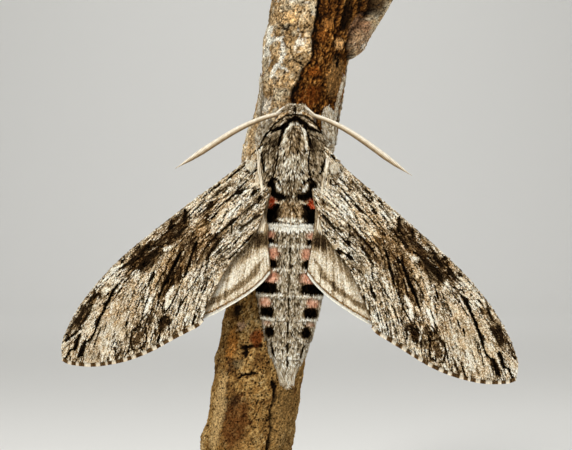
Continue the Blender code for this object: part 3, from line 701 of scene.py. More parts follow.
# Drawn lines of the forewing: path, half width, tone, warmth.
FORE_LINES = [
    ([(2.4, 0.7), (7.0, 0.85), (11.0, 0.8), (14.4, 1.0)], 0.10, 0.08, 0.2),
    ([(9.2, 2.1), (10.6, 2.6), (12.5, 3.5)], 0.10, 0.10, 0.2),
    ([(13.7, 3.9), (12.4, 3.7), (10.2, 3.6), (8.0, 3.7)], 0.16, 0.86, 0.2),
    ([(10.2, 4.2), (13.0, 4.2), (16.0, 4.3), (18.4, 4.9)], 0.17, 0.04, 0.2),
    ([(10.0, 4.1), (11.0, 5.0), (11.6, 5.8)], 0.20, 0.10, 0.1),
    ([(5.2, 6.6), (8.0, 6.4), (10.0, 6.0)], 0.22, 0.12, 0.1),
    ([(8.0, -2.2), (9.6, -2.4)], 0.26, 0.06, 0.2),
    ([(8.2, -1.2), (9.4, -1.2), (10.6, -1.3)], 0.17, 0.06, 0.2),
    ([(10.9, -2.6), (12.6, -2.5)], 0.15, 0.08, 0.2),
    ([(10.7, -0.8), (12.6, -0.7)], 0.20, 0.05, 0.2),
    ([(13.4, -1.2), (14.6, -1.2), (15.7, -0.8)], 0.13, 0.10, 0.2),
    ([(11.8, -1.9), (14.0, -2.0)], 0.09, 0.2, 0.2),
    ([(12.0, 0.1), (15.6, 0.3)], 0.10, 0.16, 0.5),
    ([(14.0, 2.4), (16.8, 2.9)], 0.12, 0.12, 0.5),
    ([(14.4, 3.4), (16.4, 3.2), (18.0, 3.6)], 0.18, 0.10, 0.4),
    ([(14.0, 5.2), (17.2, 5.9), (18.6, 6.1)], 0.22, 0.06, 0.3),
    ([(16.1, -3.5), (16.6, -2.5), (17.8, -1.3)], 0.42, 0.03, 0.3),
    ([(19.4, -3.9), (19.8, -3.0), (20.4, -2.4)], 0.34, 0.04, 0.3),
    ([(27.0, -4.9), (27.9, -4.2)], 0.50, 0.03, 0.3),
    ([(31.2, -4.9), (32.3, -4.4)], 0.52, 0.04, 0.3),
    ([(25.4, -3.0), (28.4, -3.1)], 0.34, 0.03, 0.3),
    ([(29.0, -3.4), (31.6, -3.2)], 0.34, 0.07, 0.3),
    ([(18.2, -0.8), (21.0, -0.6)], 0.30, 0.05, 0.3),
    ([(24.6, -1.1), (27.0, -1.4), (30.0, -1.2)], 0.50, 0.06, 0.3),
    ([(20.6, -3.2), (23.4, -3.1), (25.0, -3.4)], 0.09, 0.70, 0.3),
    ([(21.0, -2.7), (24.2, -2.9)], 0.07, 0.60, 0.3),
    ([(24.6, -1.9), (27.6, -2.2)], 0.08, 0.55, 0.3),
    ([(17.6, -2.6), (19.2, -2.5)], 0.10, 0.55, 0.4),
    ([(22.0, -0.6), (22.9, -1.1), (24.2, -1.3)], 0.17, 0.02, 0.2),
    ([(22.3, 0.2), (23.2, -0.3), (24.0, -0.7)], 0.34, 0.84, 0.12),
    ([(24.1, -0.9), (24.3, -0.2)], 0.12, 0.03, 0.2),
    ([(22.1, 0.6), (22.9, 0.5)], 0.10, 0.05, 0.2),
    ([(22.8, 0.9), (25.4, 1.2), (28.4, 2.5), (31.2, 4.0)], 0.36, 0.56, 0.80),
    ([(17.2, 2.5), (18.2, 2.8), (20.0, 3.7), (22.0, 4.9), (23.9, 5.8)], 0.24, 0.0, 0.2),
    ([(20.4, 1.9), (22.2, 2.3), (24.0, 3.0), (26.0, 3.6), (28.2, 4.4), (30.5, 5.5)], 0.30, 0.0, 0.2),
    ([(21.8, 3.0), (24.0, 3.8), (26.0, 4.6)], 0.14, 0.08, 0.3),
    ([(25.0, 2.3), (28.2, 3.0), (29.4, 3.6)], 0.12, 0.06, 0.3),
    ([(18.4, 3.6), (20.6, 5.2)], 0.10, 0.10, 0.4),
    ([(20.4, 6.4), (22.4, 6.7), (24.2, 7.6)], 0.24, 0.84, 0.15),
    ([(20.0, 7.0), (22.6, 7.6), (25.0, 7.9)], 0.13, 0.05, 0.2),
    ([(17.8, 6.2), (19.0, 7.2), (20.2, 7.9)], 0.14, 0.05, 0.2),
    ([(19.0, 6.8), (20.0, 6.5)], 0.14, 0.08, 0.2),
    ([(18.4, 6.0), (19.8, 7.1)], 0.12, 0.80, 0.2),
    ([(20.0, 8.5), (21.2, 9.4), (22.4, 9.9)], 0.14, 0.06, 0.2),
    ([(26.3, 5.6), (28.2, 6.1), (30.2, 7.6)], 0.36, 0.97, 0.2),
    ([(24.8, 6.2), (27.2, 7.1), (28.8, 7.6), (31.2, 8.0)], 0.14, 0.03, 0.2),
    ([(29.8, 6.3), (31.3, 7.9)], 0.12, 0.04, 0.2),
    ([(25.4, 8.3), (27.4, 8.9), (29.4, 9.8)], 0.16, 0.10, 0.3),
    ([(30.9, 4.2), (32.6, 4.9), (34.7, 6.2)], 0.36, 1.0, 0.15),
    ([(31.4, 3.9), (33.2, 4.7), (35.2, 5.8)], 0.12, 0.04, 0.2),
    ([(33.6, 5.8), (36.0, 6.1)], 0.15, 0.06, 0.3),
    ([(30.4, 2.6), (31.6, 3.3), (32.6, 4.0)], 0.22, 0.85, 0.2),
    ([(29.6, 1.4), (31.0, 2.1), (32.4, 2.2)], 0.12, 0.10, 0.3),
    ([(30.6, -0.9), (31.4, 0.1)], 0.36, 0.82, 0.2),
    ([(29.8, 1.2), (30.4, 2.0)], 0.20, 0.82, 0.2),
    ([(31.0, 0.4), (32.6, 1.0)], 0.14, 0.08, 0.3),
    ([(32.4, -2.0), (34.0, -2.4)], 0.16, 0.14, 0.3),
    ([(32.0, -1.4), (33.4, -1.2)], 0.14, 0.10, 0.3),
    ([(33.0, 1.2), (34.8, 1.8)], 0.12, 0.16, 0.4),
    ([(34.4, 2.4), (36.0, 2.8), (37.6, 3.9)], 0.10, 0.22, 0.3),
    ([(34.2, -1.2), (36.2, -0.5), (38.0, -0.2)], 0.12, 0.10, 0.3),
    ([(34.0, -1.5), (36.4, -0.9)], 0.18, 0.85, 0.15),
    ([(38.0, -0.1), (39.6, 1.2)], 0.22, 0.84, 0.2),
    ([(36.2, 3.4), (38.0, 4.0)], 0.16, 0.82, 0.2),
    ([(34.2, -1.95), (36.6, -1.6), (38.4, -0.9), (40.4, -0.2), (42.2, 0.5), (44.2, 1.5), (45.6, 1.95),
      (47.4, 1.9)], 0.34, 0.0, 0.2),
    ([(40.0, -1.2), (41.0, -0.4), (42.6, 0.0)], 0.18, 0.62, 0.8),
    ([(43.8, 1.0), (45.4, 1.6), (46.8, 1.6)], 0.14, 0.74, 0.75),
    ([(46.8, 1.6), (48.0, 2.1), (50.0, 2.9)], 0.46, 0.03, 0.3),
    ([(42.6, 1.6), (44.6, 2.7), (46.8, 3.9)], 0.14, 0.10, 0.3),
    ([(46.9, -0.1), (48.4, 0.5), (50.0, 1.5)], 0.36, 0.0, 0.2),
    ([(49.6, 1.3), (50.7, 0.8), (52.2, 1.3), (53.4, 1.1)], 0.20, 0.0, 0.2),
    ([(46.8, 0.7), (48.6, 1.5), (49.6, 2.0)], 0.16, 0.88, 0.3),
    ([(42.4, 0.0), (43.6, 0.6)], 0.18, 0.10, 0.4),
    ([(38.8, -4.7), (40.6, -4.6)], 0.36, 0.06, 0.3),
    ([(39.6, -4.0), (41.2, -3.5), (42.4, -3.0)], 0.28, 0.08, 0.3),
    ([(38.9, -2.9), (40.0, -2.5)], 0.28, 0.12, 0.4),
    ([(36.2, -4.6), (38.0, -4.5)], 0.12, 0.30, 0.3),
    ([(43.2, -3.3), (45.0, -2.6), (46.6, -1.6)], 0.42, 0.08, 0.3),
    ([(42.6, -1.9), (44.8, -1.4), (47.0, -0.9)], 0.26, 0.08, 0.3),
    ([(46.6, -2.8), (48.6, -1.9), (50.2, -1.4)], 0.20, 0.16, 0.3),
    ([(41.0, -1.6), (43.4, -1.0), (45.4, -0.6)], 0.20, 0.70, 0.3),
    ([(42.0, -4.2), (45.0, -3.8), (48.0, -2.9)], 0.12, 0.55, 0.3),
    ([(35.6, 7.6), (36.4, 6.5), (37.8, 6.2), (39.4, 7.2), (40.2, 8.6), (39.4, 9.4)], 0.24, 0.07, 0.4),
    ([(35.6, 7.6), (36.4, 8.8), (37.8, 9.7), (39.2, 9.4)], 0.20, 0.06, 0.3),
    ([(36.6, 7.6), (37.8, 7.9), (39.2, 8.4)], 0.80, 0.20, 0.5),
    ([(37.2, 6.8), (38.6, 7.4)], 0.16, 0.66, 0.6),
    ([(36.8, 8.3), (38.0, 8.8)], 0.14, 0.60, 0.5),
    ([(30.4, 8.9), (31.6, 8.3), (33.4, 8.3), (35.3, 9.7)], 0.22, 0.04, 0.3),
    ([(30.6, 9.2), (32.4, 10.6)], 0.16, 0.08, 0.3),
    ([(33.0, 6.7), (34.6, 7.4)], 0.36, 0.14, 0.4),
    ([(32.6, 7.2), (34.0, 9.0)], 0.22, 0.70, 0.2),
    ([(42.6, 6.2), (43.2, 6.6)], 0.28, 0.16, 0.4),
    ([(41.6, 7.2), (43.4, 7.7), (44.4, 8.0)], 0.28, 0.18, 0.4),
    ([(41.0, 4.4), (42.2, 4.8)], 0.14, 0.26, 0.4),
    ([(45.6, 5.0), (47.4, 5.6)], 0.18, 0.34, 0.4),
    ([(28.6, 11.4), (30.2, 12.4)], 0.14, 0.20, 0.3),
    ([(22.0, 10.6), (24.2, 12.4)], 0.16, 0.22, 0.3),
    ([(23.6, 9.2), (25.6, 10.2)], 0.12, 0.26, 0.4),
    ([(9.0, -2.75), (17.0, -3.6), (29.0, -4.8), (34.0, -4.95), (39.0, -4.75), (44.0, -4.05), (48.6, -2.7),
      (52.0, -1.1)], 0.13, 0.60, 0.25),
]

# Soft ovals of the hindwing, as those of the forewing.
HIND_PATCHES = [
    ((17.0, 4.0), (16.0, 5.9), 0, 0.30, 0.25, 0.95),
    ((8.2, 9.8), (1.3, 2.2), 50, 0.20, 0.35, 0.9),
    ((15.6, 11.3), (5.6, 0.8), 0, 0.90, 0.25, 0.8),
]
# Dark bands across the hindwing: path, half width, tone and strength.
HIND_BANDS = [
    ([(9.8, 12.2), (13.0, 13.1), (16.6, 13.0), (20.0, 12.4), (23.0, 11.6), (25.5, 10.8), (27.5, 9.8)],
     0.45, 0.32, 0.8),
]


def wing_lift(out, back, inward):
    """How far the wing's middle surface stands off its flat plane, towards the back of the moth."""
    arch = CAMBER * np.sin(math.pi * np.clip((back + 5) / CAMBER_CHORD, 0, 1))
    near_body = 0.05 * np.maximum(0.0, 1.2 - inward) ** 2
    return arch * smooth(out / 14) + near_body - TIP_DROOP * (np.maximum(0.0, out) / FOREWING_LENGTH) ** 2


def wing_points(plane, offset, side):
    """Places of the wing's plane, in the moth's frame."""
    out, back = plane[..., 0], plane[..., 1]
    sweep = WING_SWEEP + side * SWEEP_SKEW
    inward = out * math.cos(sweep) - back * math.sin(sweep)
    down = out * math.sin(sweep) + back * math.cos(sweep)
    lift = wing_lift(out, back, inward) + offset
    x = WING_ROOT[0] + inward * math.cos(ROOF_SLOPE) + lift * math.sin(ROOF_SLOPE)
    y = WING_ROOT[1] + inward * math.sin(ROOF_SLOPE) - lift * math.cos(ROOF_SLOPE)
    return np.stack([side * x, y, WING_ROOT[2] - down], axis=-1)


def wing_plane(outline, rows, columns, inset):
    """Plane places that fill the outline, less a narrow edge along the outer margin."""
    costa, termen, inner = outline
    front, rear, margin = spline(costa, rows), spline(inner, rows), spline(termen, columns)
    middle = (front[-1] + rear[-1]) / 2 - np.array([8.0, 0.0])
    margin = margin + unit(middle - margin) * inset
    along = np.linspace(0, 1, rows)[:, None, None]
    across = np.linspace(0, 1, columns)[None, :, None]
    straight = mix(front[:, None], rear[:, None], across)
    last = mix(front[-1], rear[-1], np.linspace(0, 1, columns)[:, None])
    return straight + (margin - last)[None] * along


def vein_relief(across, along, veins):
    """How high the raised veins stand, lower towards the margin."""
    height = 0.0
    for place, start in veins:
        ridge = hump(across, place, VEIN_WIDTH) * smooth((along - start) / 0.05 + 1) * smooth(along / 0.08)
        height = height + ridge
    return VEIN_RISE * height * (1 - 0.4 * along)


def streaks(x, y, seed, width, length):
    """Noise drawn out along the veins, which slant towards the margin in the wing's outer hind part."""
    slanted = smooth((y + 1.5) / 3.5) * smooth((x - 14) / 8)
    c, s = math.cos(VEIN_SLANT), math.sin(VEIN_SLANT)
    straight = noise(x / length, y / width, seed=seed)
    return mix(straight, noise((x * c + y * s) / length, (y * c - x * s) / width, seed=seed + 5), slanted)


def rays(along, across, seed, fine, long):
    """Noise drawn out in rays from the wing's root."""
    return noise(along * long, across * fine, seed=seed)


def forewing_marks(plane, along, across, side):
    """Markings above a forewing. All markings of wings take the same four arguments."""
    seed = 11 if side > 0 else 23
    out, back = plane[..., 0] * MARK_STRETCH, plane[..., 1]
    x = out + 0.45 * noise(out * 1.1, back * 1.9, seed=seed)
    y = back + 0.22 * noise(out * 1.1, back * 2.6, seed=seed + 1)
    marks = Marks(x, 0.60, 0.32)
    for middle, size, lean, tone, warmth, strength in FORE_PATCHES:
        marks.patch(x, y, middle, size, lean, tone, warmth, strength)
    tone = marks.values[0]
    plain = np.maximum(hump(out, 40.8, 5.0) * hump(back, 2.8, 3.4),
                       0.8 * hump(out, 46, 3.5) * hump(back, 4.4, 1.9))
    marks.calm = 0.9 * plain
    contrast = (0.12 + 1.5 * tone**1.5 * (1.1 - tone)) * (1 - 0.65 * plain)
    tone += contrast * (0.34 * streaks(out, back, seed + 2, 0.36, 3.4)
                        + 0.60 * streaks(out, back, seed + 12, 0.2, 0.9))
    hairs = smooth((tone - 0.16) / 0.3) * smooth((streaks(out, back, seed + 21, 0.2, 1.8) - 0.44) / 0.16)
    tone += (0.95 - tone) * 0.75 * hairs * (1 - 0.7 * plain)
    tone *= 1 - 0.94 * smooth((-0.40 - 0.24 * plain - streaks(out, back, seed + 9, 0.18, 2.0)) / 0.14)
    marks.values[1] += 0.07 + 0.3 * noise(out * 0.8, back * 1.6, seed=seed + 3)
    x = out + 0.12 * noise(out * 1.5, back * 2.0, seed=seed + 4)
    y = back + 0.07 * noise(out * 1.5, back * 2.0, seed=seed + 6)
    for path, width, tone, warmth in FORE_LINES:
        marks.line(x, y, path, width, tone, warmth, 1.0)
    return marks


def hindwing_marks(plane, along, across, side):
    seed = 31 if side > 0 else 43
    out, back = plane[..., 0], plane[..., 1]
    x = out + 0.3 * noise(out * 1.1, back * 1.5, seed=seed)
    y = back + 0.2 * noise(out * 1.1, back * 1.5, seed=seed + 1)
    marks = Marks(x, 0.83, 0.34)
    for middle, size, lean, tone, warmth, strength in HIND_PATCHES:
        marks.patch(x, y, middle, size, lean, tone, warmth, strength, 0.6)
    for path, width, tone, strength in HIND_BANDS:
        marks.line(x, y, path, width, tone, 0.3, strength)
    tone = marks.values[0]
    tone += 0.24 * rays(along, across, seed + 2, 70.0, 5.0) * (0.3 + 1.6 * tone * (1.2 - tone))
    tone *= 1 - 0.35 * smooth((-0.5 - rays(along, across, seed + 9, 80.0, 3.5)) / 0.2)
    marks.calm = 0.6
    edge, _ = distance_to_path(out + 0.08 * np.sin(out * 2.6), back, spline(HIND_TERMEN, 40))
    marks.lay(0.95 * smooth((0.84 - edge) / 0.16), 0.34, 0.85)
    marks.lay(smooth((0.46 - edge) / 0.08), 1.0, 0.2)
    return marks


def underside_marks(plane, along, across, side):
    seed = 53 if side > 0 else 61
    tone = 0.50 + 0.10 * rays(along, across, seed, 50.0, 7.0)
    tone = tone - 0.10 * hump(along, 0.66, 0.05) - 0.08 * hump(along, 0.8, 0.03)
    tone = tone + 0.12 * smooth(1 - along / 0.3)
    return Marks(tone, tone, 0.45)


def checked_fringe(run):
    """Tan and brown checks along the outer margin, by the distance along it."""
    check = np.sin(run * math.pi / CHECK_LENGTH + 1.5 * noise(run * 0.45, seed=14))
    dark = smooth(check * 2.2 + 0.7 + 0.7 * noise(run * 0.6, seed=18))
    return Marks(run, mix(0.90, 0.26, dark), mix(0.4, 0.7, dark))


def pale_fringe(run):
    return Marks(run, 1.0, 0.2)


def coat_wing(coat, sheet, plane, marks_of, side, count, length, width, seed, speckle, clump):
    """Covers one face of a wing with overlapping scales that point to its outer margin."""
    rng = coat.rng
    row, column = sheet.spread(count, seed=seed)
    rows, columns = sheet.points.shape[:2]
    along, across = row / (rows - 1), column / (columns - 1)
    root, ahead, normal = sheet.frame_at(row, column)
    turn = rng.normal(0, 0.16, count)[:, None]
    ahead = unit(ahead * np.cos(turn) + np.cross(ahead, normal) * np.sin(turn))
    row_step = np.linalg.norm(np.diff(sheet.points, axis=0), axis=-1).mean()
    room = np.maximum(0.12, (rows - 1 - row) * row_step - 0.05)
    length = np.minimum(length * rng.uniform(0.8, 1.2, count), room)
    seen = sheet.read(plane, row + SEEN_SHARE * length / row_step, column)
    grain = streaks(*seen.T, 15, 0.14, 0.44) + 0.5 * streaks(*seen.T, 16, 0.24, 1.4)
    marks = marks_of(seen, along, across, side).speckle(rng, speckle, clump * grain)
    coat.scales(root - normal * 0.02, ahead, normal, length, width * rng.uniform(0.8, 1.2, count),
                rng.uniform(0.04, 0.10, count), marks.colours(), (across, along))


def coat_fringe(coat, sheet, count, length, marks_of):
    """Long scales that stand out past the wing's outer margin."""
    rng = coat.rng
    edge = sheet.points[-1]
    runs = np.concatenate([[0], np.cumsum(np.linalg.norm(np.diff(edge, axis=0), axis=1))])
    run = np.linspace(0.2, runs[-1] - 0.1, count) + rng.uniform(-0.05, 0.05, count)
    column = np.interp(run, runs, np.arange(len(edge)))
    root, outward, normal = sheet.frame_at(np.full(count, len(sheet.points) - 1.02), column)
    edge_way = unit(np.gradient(edge, axis=0))
    edge_way = np.stack([np.interp(column, np.arange(len(edge)), edge_way[:, k]) for k in range(3)], axis=1)
    ahead = unit(np.cross(edge_way, normal))
    ahead = ahead * np.sign((ahead * outward).sum(axis=1, keepdims=True))
    ahead = unit(ahead + 0.35 * outward + rng.normal(0, 0.08, (count, 3)))
    layer = rng.uniform(-1, 1, count)
    marks = marks_of(run)
    marks.values[0] += rng.normal(0, 0.05, count)
    coat.scales(root - ahead * 0.2 + normal * (0.06 + layer * 0.03)[:, None], ahead, normal,
                length * rng.uniform(0.88, 1.04, count) + 0.2, np.full(count, 0.14), layer * 0.05 - 0.06,
                marks.colours(), (column / len(edge), np.full(count, 0.99)), 0.8)


# Each kind of wing: outline, veins, drop, upper markings, rows, columns, numbers of scales above and below,
# speckle and clumps of those above, then its fringe as the number of scales, their length and their markings.
WING_KINDS = {
    "forewing": ((FORE_COSTA, FORE_TERMEN, FORE_INNER), FORE_VEINS, 0.0, forewing_marks, 150, 72,
                 (46000, 17000), (0.34, 0.36), (2200, 0.5, checked_fringe)),
    "hindwing": ((HIND_COSTA, HIND_TERMEN, HIND_INNER), HIND_VEINS, LAYER_DROP, hindwing_marks, 90, 60,
                 (20000, 9000), (0.22, 0.2), (1400, 0.2, pale_fringe)),
}


def make_wing(kind, word, side):
    """One wing: a thin skin with raised veins, and the coats of its two faces."""
    outline, veins, drop, marks_of, rows, columns, counts, grain, fringe = WING_KINDS[kind]
    name = f"{kind}_{word}"
    seed = 100 + side + 100 * (kind == "hindwing")
    plane = wing_plane(outline, rows, columns, fringe[1])
    along = np.linspace(0, 1, rows)[:, None] + np.zeros((1, columns))
    across = np.zeros((rows, 1)) + np.linspace(0, 1, columns)[None]
    relief = vein_relief(across, along, veins) + 0.03 * noise(along * 14, across * 9, seed=seed)
    top = wing_points(plane, SKIN_HALF + relief - drop, side)
    bottom = wing_points(plane, -SKIN_HALF - relief * 0.6 - drop, side)
    points, faces = thin_shell(top, bottom)
    above = marks_of(plane, along, across, side).colours()
    below = underside_marks(plane, along, across, side).colours()
    # The skin is painted darker than the scales' markings, as painted shade in the gaps between the scales.
    colours = np.concatenate([above.reshape(-1, 3), below.reshape(-1, 3)]) * 0.8
    add_piece(f"{name}_skin", (points, faces, colours), "skin", "wing", name)
    upper = Coat(f"{name}_upper_scales", seed)
    sheet = Sheet(top, outward=side)
    coat_wing(upper, sheet, plane, marks_of, side, counts[0], *UPPER_SCALE, 0.31, *grain)
    coat_fringe(upper, sheet, *fringe)
    upper.finish("wing")
    lower = Coat(f"{name}_lower_scales", seed + 50)
    sheet = Sheet(bottom, outward=-side)
    coat_wing(lower, sheet, plane, underside_marks, side, counts[1], *LOWER_SCALE, 0.77, 0.10, 0.06)
    lower.finish("wing")


# Body: one skin for head, thorax and abdomen, and the coat over it

# Height along the body, half width, top of the back, bottom of the belly, and where it is widest.
BODY_FORM = [
    (20.6, 0.3, 1.2, 1.8, 1.5), (20.35, 1.4, 0.1, 3.0, 1.5), (19.9, 2.15, -0.8, 3.7, 1.4),
    (19.0, 2.85, -1.6, 4.4, 1.2), (18.2, 3.15, -2.5, 4.7, 0.8), (17.4, 3.6, -3.3, 4.75, 0.4),
    (16.4, 4.4, -4.15, 4.6, -0.3), (14.8, 5.2, -4.6, 4.4, -0.4), (13.0, 5.85, -4.9, 4.7, -0.1),
    (10.8, 6.2, -5.1, 5.1, 0.0), (8.4, 6.1, -5.0, 5.2, 0.1), (6.4, 5.8, -4.5, 5.3, 0.3),
    (5.2, 5.4, -3.9, 5.25, 0.5), (4.2, 5.0, -3.2, 5.0, 0.8), (3.2, 5.1, -2.85, 5.0, 1.1),
    (1.0, 5.5, -2.75, 5.2, 1.4), (-2.0, 5.9, -2.7, 5.5, 1.6), (-7.0, 6.0, -2.7, 5.55, 1.65),
    (-12.0, 5.85, -2.6, 5.4, 1.6), (-16.0, 5.05, -2.2, 5.0, 1.5), (-19.5, 4.15, -1.7, 4.5, 1.5),
    (-22.5, 3.15, -1.0, 3.8, 1.5), (-25.0, 1.9, 0.0, 2.9, 1.5), (-26.6, 1.05, 0.75, 2.25, 1.5),
    (-27.2, 0.3, 1.25, 1.75, 1.5),
]
# The skin lies this deep inside the solid body.
COAT_DEPTH = 0.42
BODY_ROWS = 300
BODY_COLUMNS = 110
THORAX_LOCKS = 18500
ABDOMEN_SCALES = 36000
ABDOMEN_LOCKS = 4600
# The edges of the abdomen's rings, and how far each ring's hind edge stands over the next ring.
SEGMENTS = [0.1, -3.5, -7.6, -11.9, -15.9, -19.4, -22.3]
SEGMENT_STEP = 0.17
# The markings of head and thorax lie this far right of the middle.
MARK_SHIFT = 0.28
ABDOMEN_END = -28.0
FUR_END = 3.6

# Lines of head and thorax, mirrored: path as (sideways, height), half width, tone, warmth.
THORAX_LINES = [
    ([(1.0, 18.9), (2.2, 18.4), (3.3, 17.5)], 0.24, 0.52, 1.0),
    ([(0.4, 17.8), (1.5, 17.3), (2.6, 16.6), (3.6, 16.1)], 0.16, 0.62, 0.3),
    ([(-1.0, 18.5), (0.0, 18.5), (1.5, 18.3), (2.7, 17.5), (3.5, 16.6), (4.25, 15.6)], 0.17, 0.0, 0.2),
    ([(-0.8, 17.6), (0.0, 17.75), (0.8, 17.45), (1.3, 16.9)], 0.42, 0.0, 0.2),
    ([(1.1, 17.2), (2.2, 16.3), (3.3, 15.75), (4.3, 15.45)], 0.28, 0.0, 0.2),
    ([(4.2, 15.7), (5.1, 14.5), (5.7, 13.3), (5.45, 12.4), (5.15, 11.3), (4.85, 9.9), (4.6, 8.4)],
     0.19, 0.0, 0.2),
    ([(1.35, 16.7), (2.0, 15.4), (2.4, 14.2), (2.65, 12.9)], 0.26, 0.0, 0.2),
    ([(2.65, 13.1), (2.5, 11.4), (2.6, 9.8), (2.95, 8.5), (3.5, 7.4)], 0.15, 0.0, 0.2),
    ([(-0.6, 17.0), (0.0, 17.0), (0.8, 16.6), (1.3, 15.7), (1.75, 14.3), (1.95, 12.8), (1.8, 11.3)],
     0.17, 0.92, 0.2),
    ([(0.5, 14.9), (0.75, 13.2), (0.5, 11.8)], 0.09, 0.10, 0.2),
    ([(2.4, 12.6), (1.5, 11.9), (0.9, 11.0)], 0.09, 0.12, 0.2),
    ([(0.3, 8.2), (0.35, 7.2), (0.2, 6.2)], 0.12, 0.14, 0.3),
    ([(1.85, 6.6), (2.2, 7.25), (2.9, 7.6), (3.5, 7.4), (3.9, 6.7)], 0.21, 0.0, 0.1),
    ([(3.5, 7.4), (3.4, 6.2), (2.95, 5.35), (2.15, 4.9), (1.4, 4.8), (0.9, 4.95)], 0.60, 0.0, 0.1),
    ([(2.65, 7.0), (2.4, 6.3), (1.75, 5.8)], 0.17, 1.0, 0.0),
    ([(2.75, 4.2), (2.3, 3.75), (1.8, 3.8), (1.25, 4.25)], 0.20, 0.86, 0.75),
    ([(2.9, 2.7), (2.4, 3.1), (2.0, 3.45)], 0.36, 0.0, 0.1),
]

# Soft ovals of head, thorax and waist, mirrored: middle, half sizes, tone, warmth, rust.
THORAX_PATCHES = [
    ((0.0, 19.5), (2.6, 1.3), 0.52, 0.25, 0.0),
    ((0.0, 19.4), (0.24, 0.6), 0.04, 0.2, 0.0),
    ((2.2, 17.0), (1.7, 0.45), 0.30, 0.3, 0.0),
    ((0.0, 13.0), (1.2, 3.4), 0.46, 0.45, 0.0),
    ((0.0, 9.6), (2.2, 2.0), 0.64, 0.08, 0.0),
    ((3.8, 12.2), (1.1, 3.2), 0.36, 0.2, 0.0),
    ((3.3, 13.2), (0.5, 1.6), 0.24, 0.2, 0.0),
    ((3.9, 9.0), (0.8, 1.6), 0.46, 0.2, 0.0),
    ((5.8, 10.4), (0.5, 3.2), 0.86, 0.3, 0.0),
    ((2.1, 6.65), (0.8, 0.55), 0.46, 0.25, 0.0),
    ((0.0, 5.6), (0.9, 0.9), 0.50, 0.4, 0.0),
    ((0.0, 2.3), (2.0, 2.0), 0.42, 0.65, 0.0),
    ((3.6, 3.8), (1.4, 0.9), 0.54, 0.5, 1.0),
    ((0.0, 0.85), (2.4, 0.42), 0.74, 0.2, 0.0),
]
# The black blocks on the waist: middle and half sizes.
WAIST_BLOCK = ((3.7, 1.9), (2.3, 1.75))

# Blocks on the rings of the abdomen, mirrored: middle, half sizes, tone, rose, strength, edge and squareness.
ABDOMEN_BLOCKS = [
    ((4.2, -1.7), (1.5, 0.6), 0.52, 1.0, 0.85, 0.4, 3.0),
    ((4.1, -2.85), (1.45, 0.58), 0.0, 0.0, 1.0, 0.25, 4.0),
    ((3.9, -4.8), (1.9, 1.05), 0.54, 1.0, 0.95, 0.35, 3.0),
    ((3.8, -6.65), (1.75, 0.88), 0.0, 0.0, 1.0, 0.2, 4.0),
    ((4.1, -8.8), (2.1, 1.05), 0.54, 1.0, 0.95, 0.35, 3.0),
    ((4.3, -10.75), (2.35, 1.0), 0.0, 0.0, 1.0, 0.16, 5.0),
    ((3.9, -13.1), (0.9, 0.8), 0.58, 0.9, 0.9, 0.5, 2.2),
    ((3.55, -14.75), (1.15, 1.0), 0.0, 0.0, 1.0, 0.25, 2.6),
    ((3.6, -16.7), (0.6, 0.35), 0.62, 0.7, 0.6, 0.6, 2.0),
    ((2.95, -18.15), (0.78, 1.0), 0.0, 0.0, 1.0, 0.28, 2.3),
]
# Dark dashes near the abdomen's tip, mirrored: path, half width and strength.
ABDOMEN_DASHES = [
    ([(2.75, -20.0), (2.45, -20.9), (2.2, -22.3)], 0.17, 0.9),
    ([(2.35, -21.0), (2.0, -22.6)], 0.1, 0.5),
]
# The broken dark line along the middle of the back: from, to and strength.
MEDIAN_DASHES = [(-1.4, -3.3, 0.5), (-3.7, -7.2, 0.95), (-7.9, -11.4, 0.6), (-12.0, -15.5, 0.95),
                 (-16.2, -19.0, 0.95), (-19.8, -21.6, 1.0), (-22.2, -24.2, 0.9)]

# Tufts of long hair, mirrored: root, tip, how far the middle stands out, spread at the root and at the tip,
# strand width, number of strands, tone, warmth.
LONG_TUFTS = [
    ((5.7, -2.3, 12.2), (5.35, -3.0, 8.2), 0.3, 0.32, 0.24, 0.13, 90, 0.74, 0.30),
    ((5.35, -2.6, 9.4), (4.75, -3.2, 4.8), 0.3, 0.28, 0.15, 0.13, 90, 0.82, 0.25),
    ((5.5, -1.7, 12.4), (6.9, -2.7, 10.5), 0.2, 0.22, 0.2, 0.13, 60, 0.72, 0.35),
    ((0.85, 0.5, -24.2), (0.6, 1.0, -27.0), 0.15, 0.58, 0.40, 0.13, 190, 0.68, 0.15),
    ((0.9, 0.3, -22.6), (1.0, 0.4, -24.9), 0.1, 0.58, 0.42, 0.13, 110, 0.64, 0.15),
    ((5.9, -2.0, 10.2), (5.6, -2.7, 6.2), 0.3, 0.35, 0.3, 0.16, 60, 0.70, 0.35),
    ((1.9, -0.2, 19.95), (3.2, -0.5, 18.9), 0.25, 0.08, 0.10, 0.11, 34, 0.92, 0.15),
    ((4.6, -1.9, 2.2), (5.0, -2.4, -1.0), 0.25, 0.14, 0.36, 0.16, 80, 0.90, 0.35),
    ((5.0, -0.9, 3.0), (6.6, -0.6, -3.0), 0.3, 0.5, 0.7, 0.18, 60, 0.80, 0.20),
]


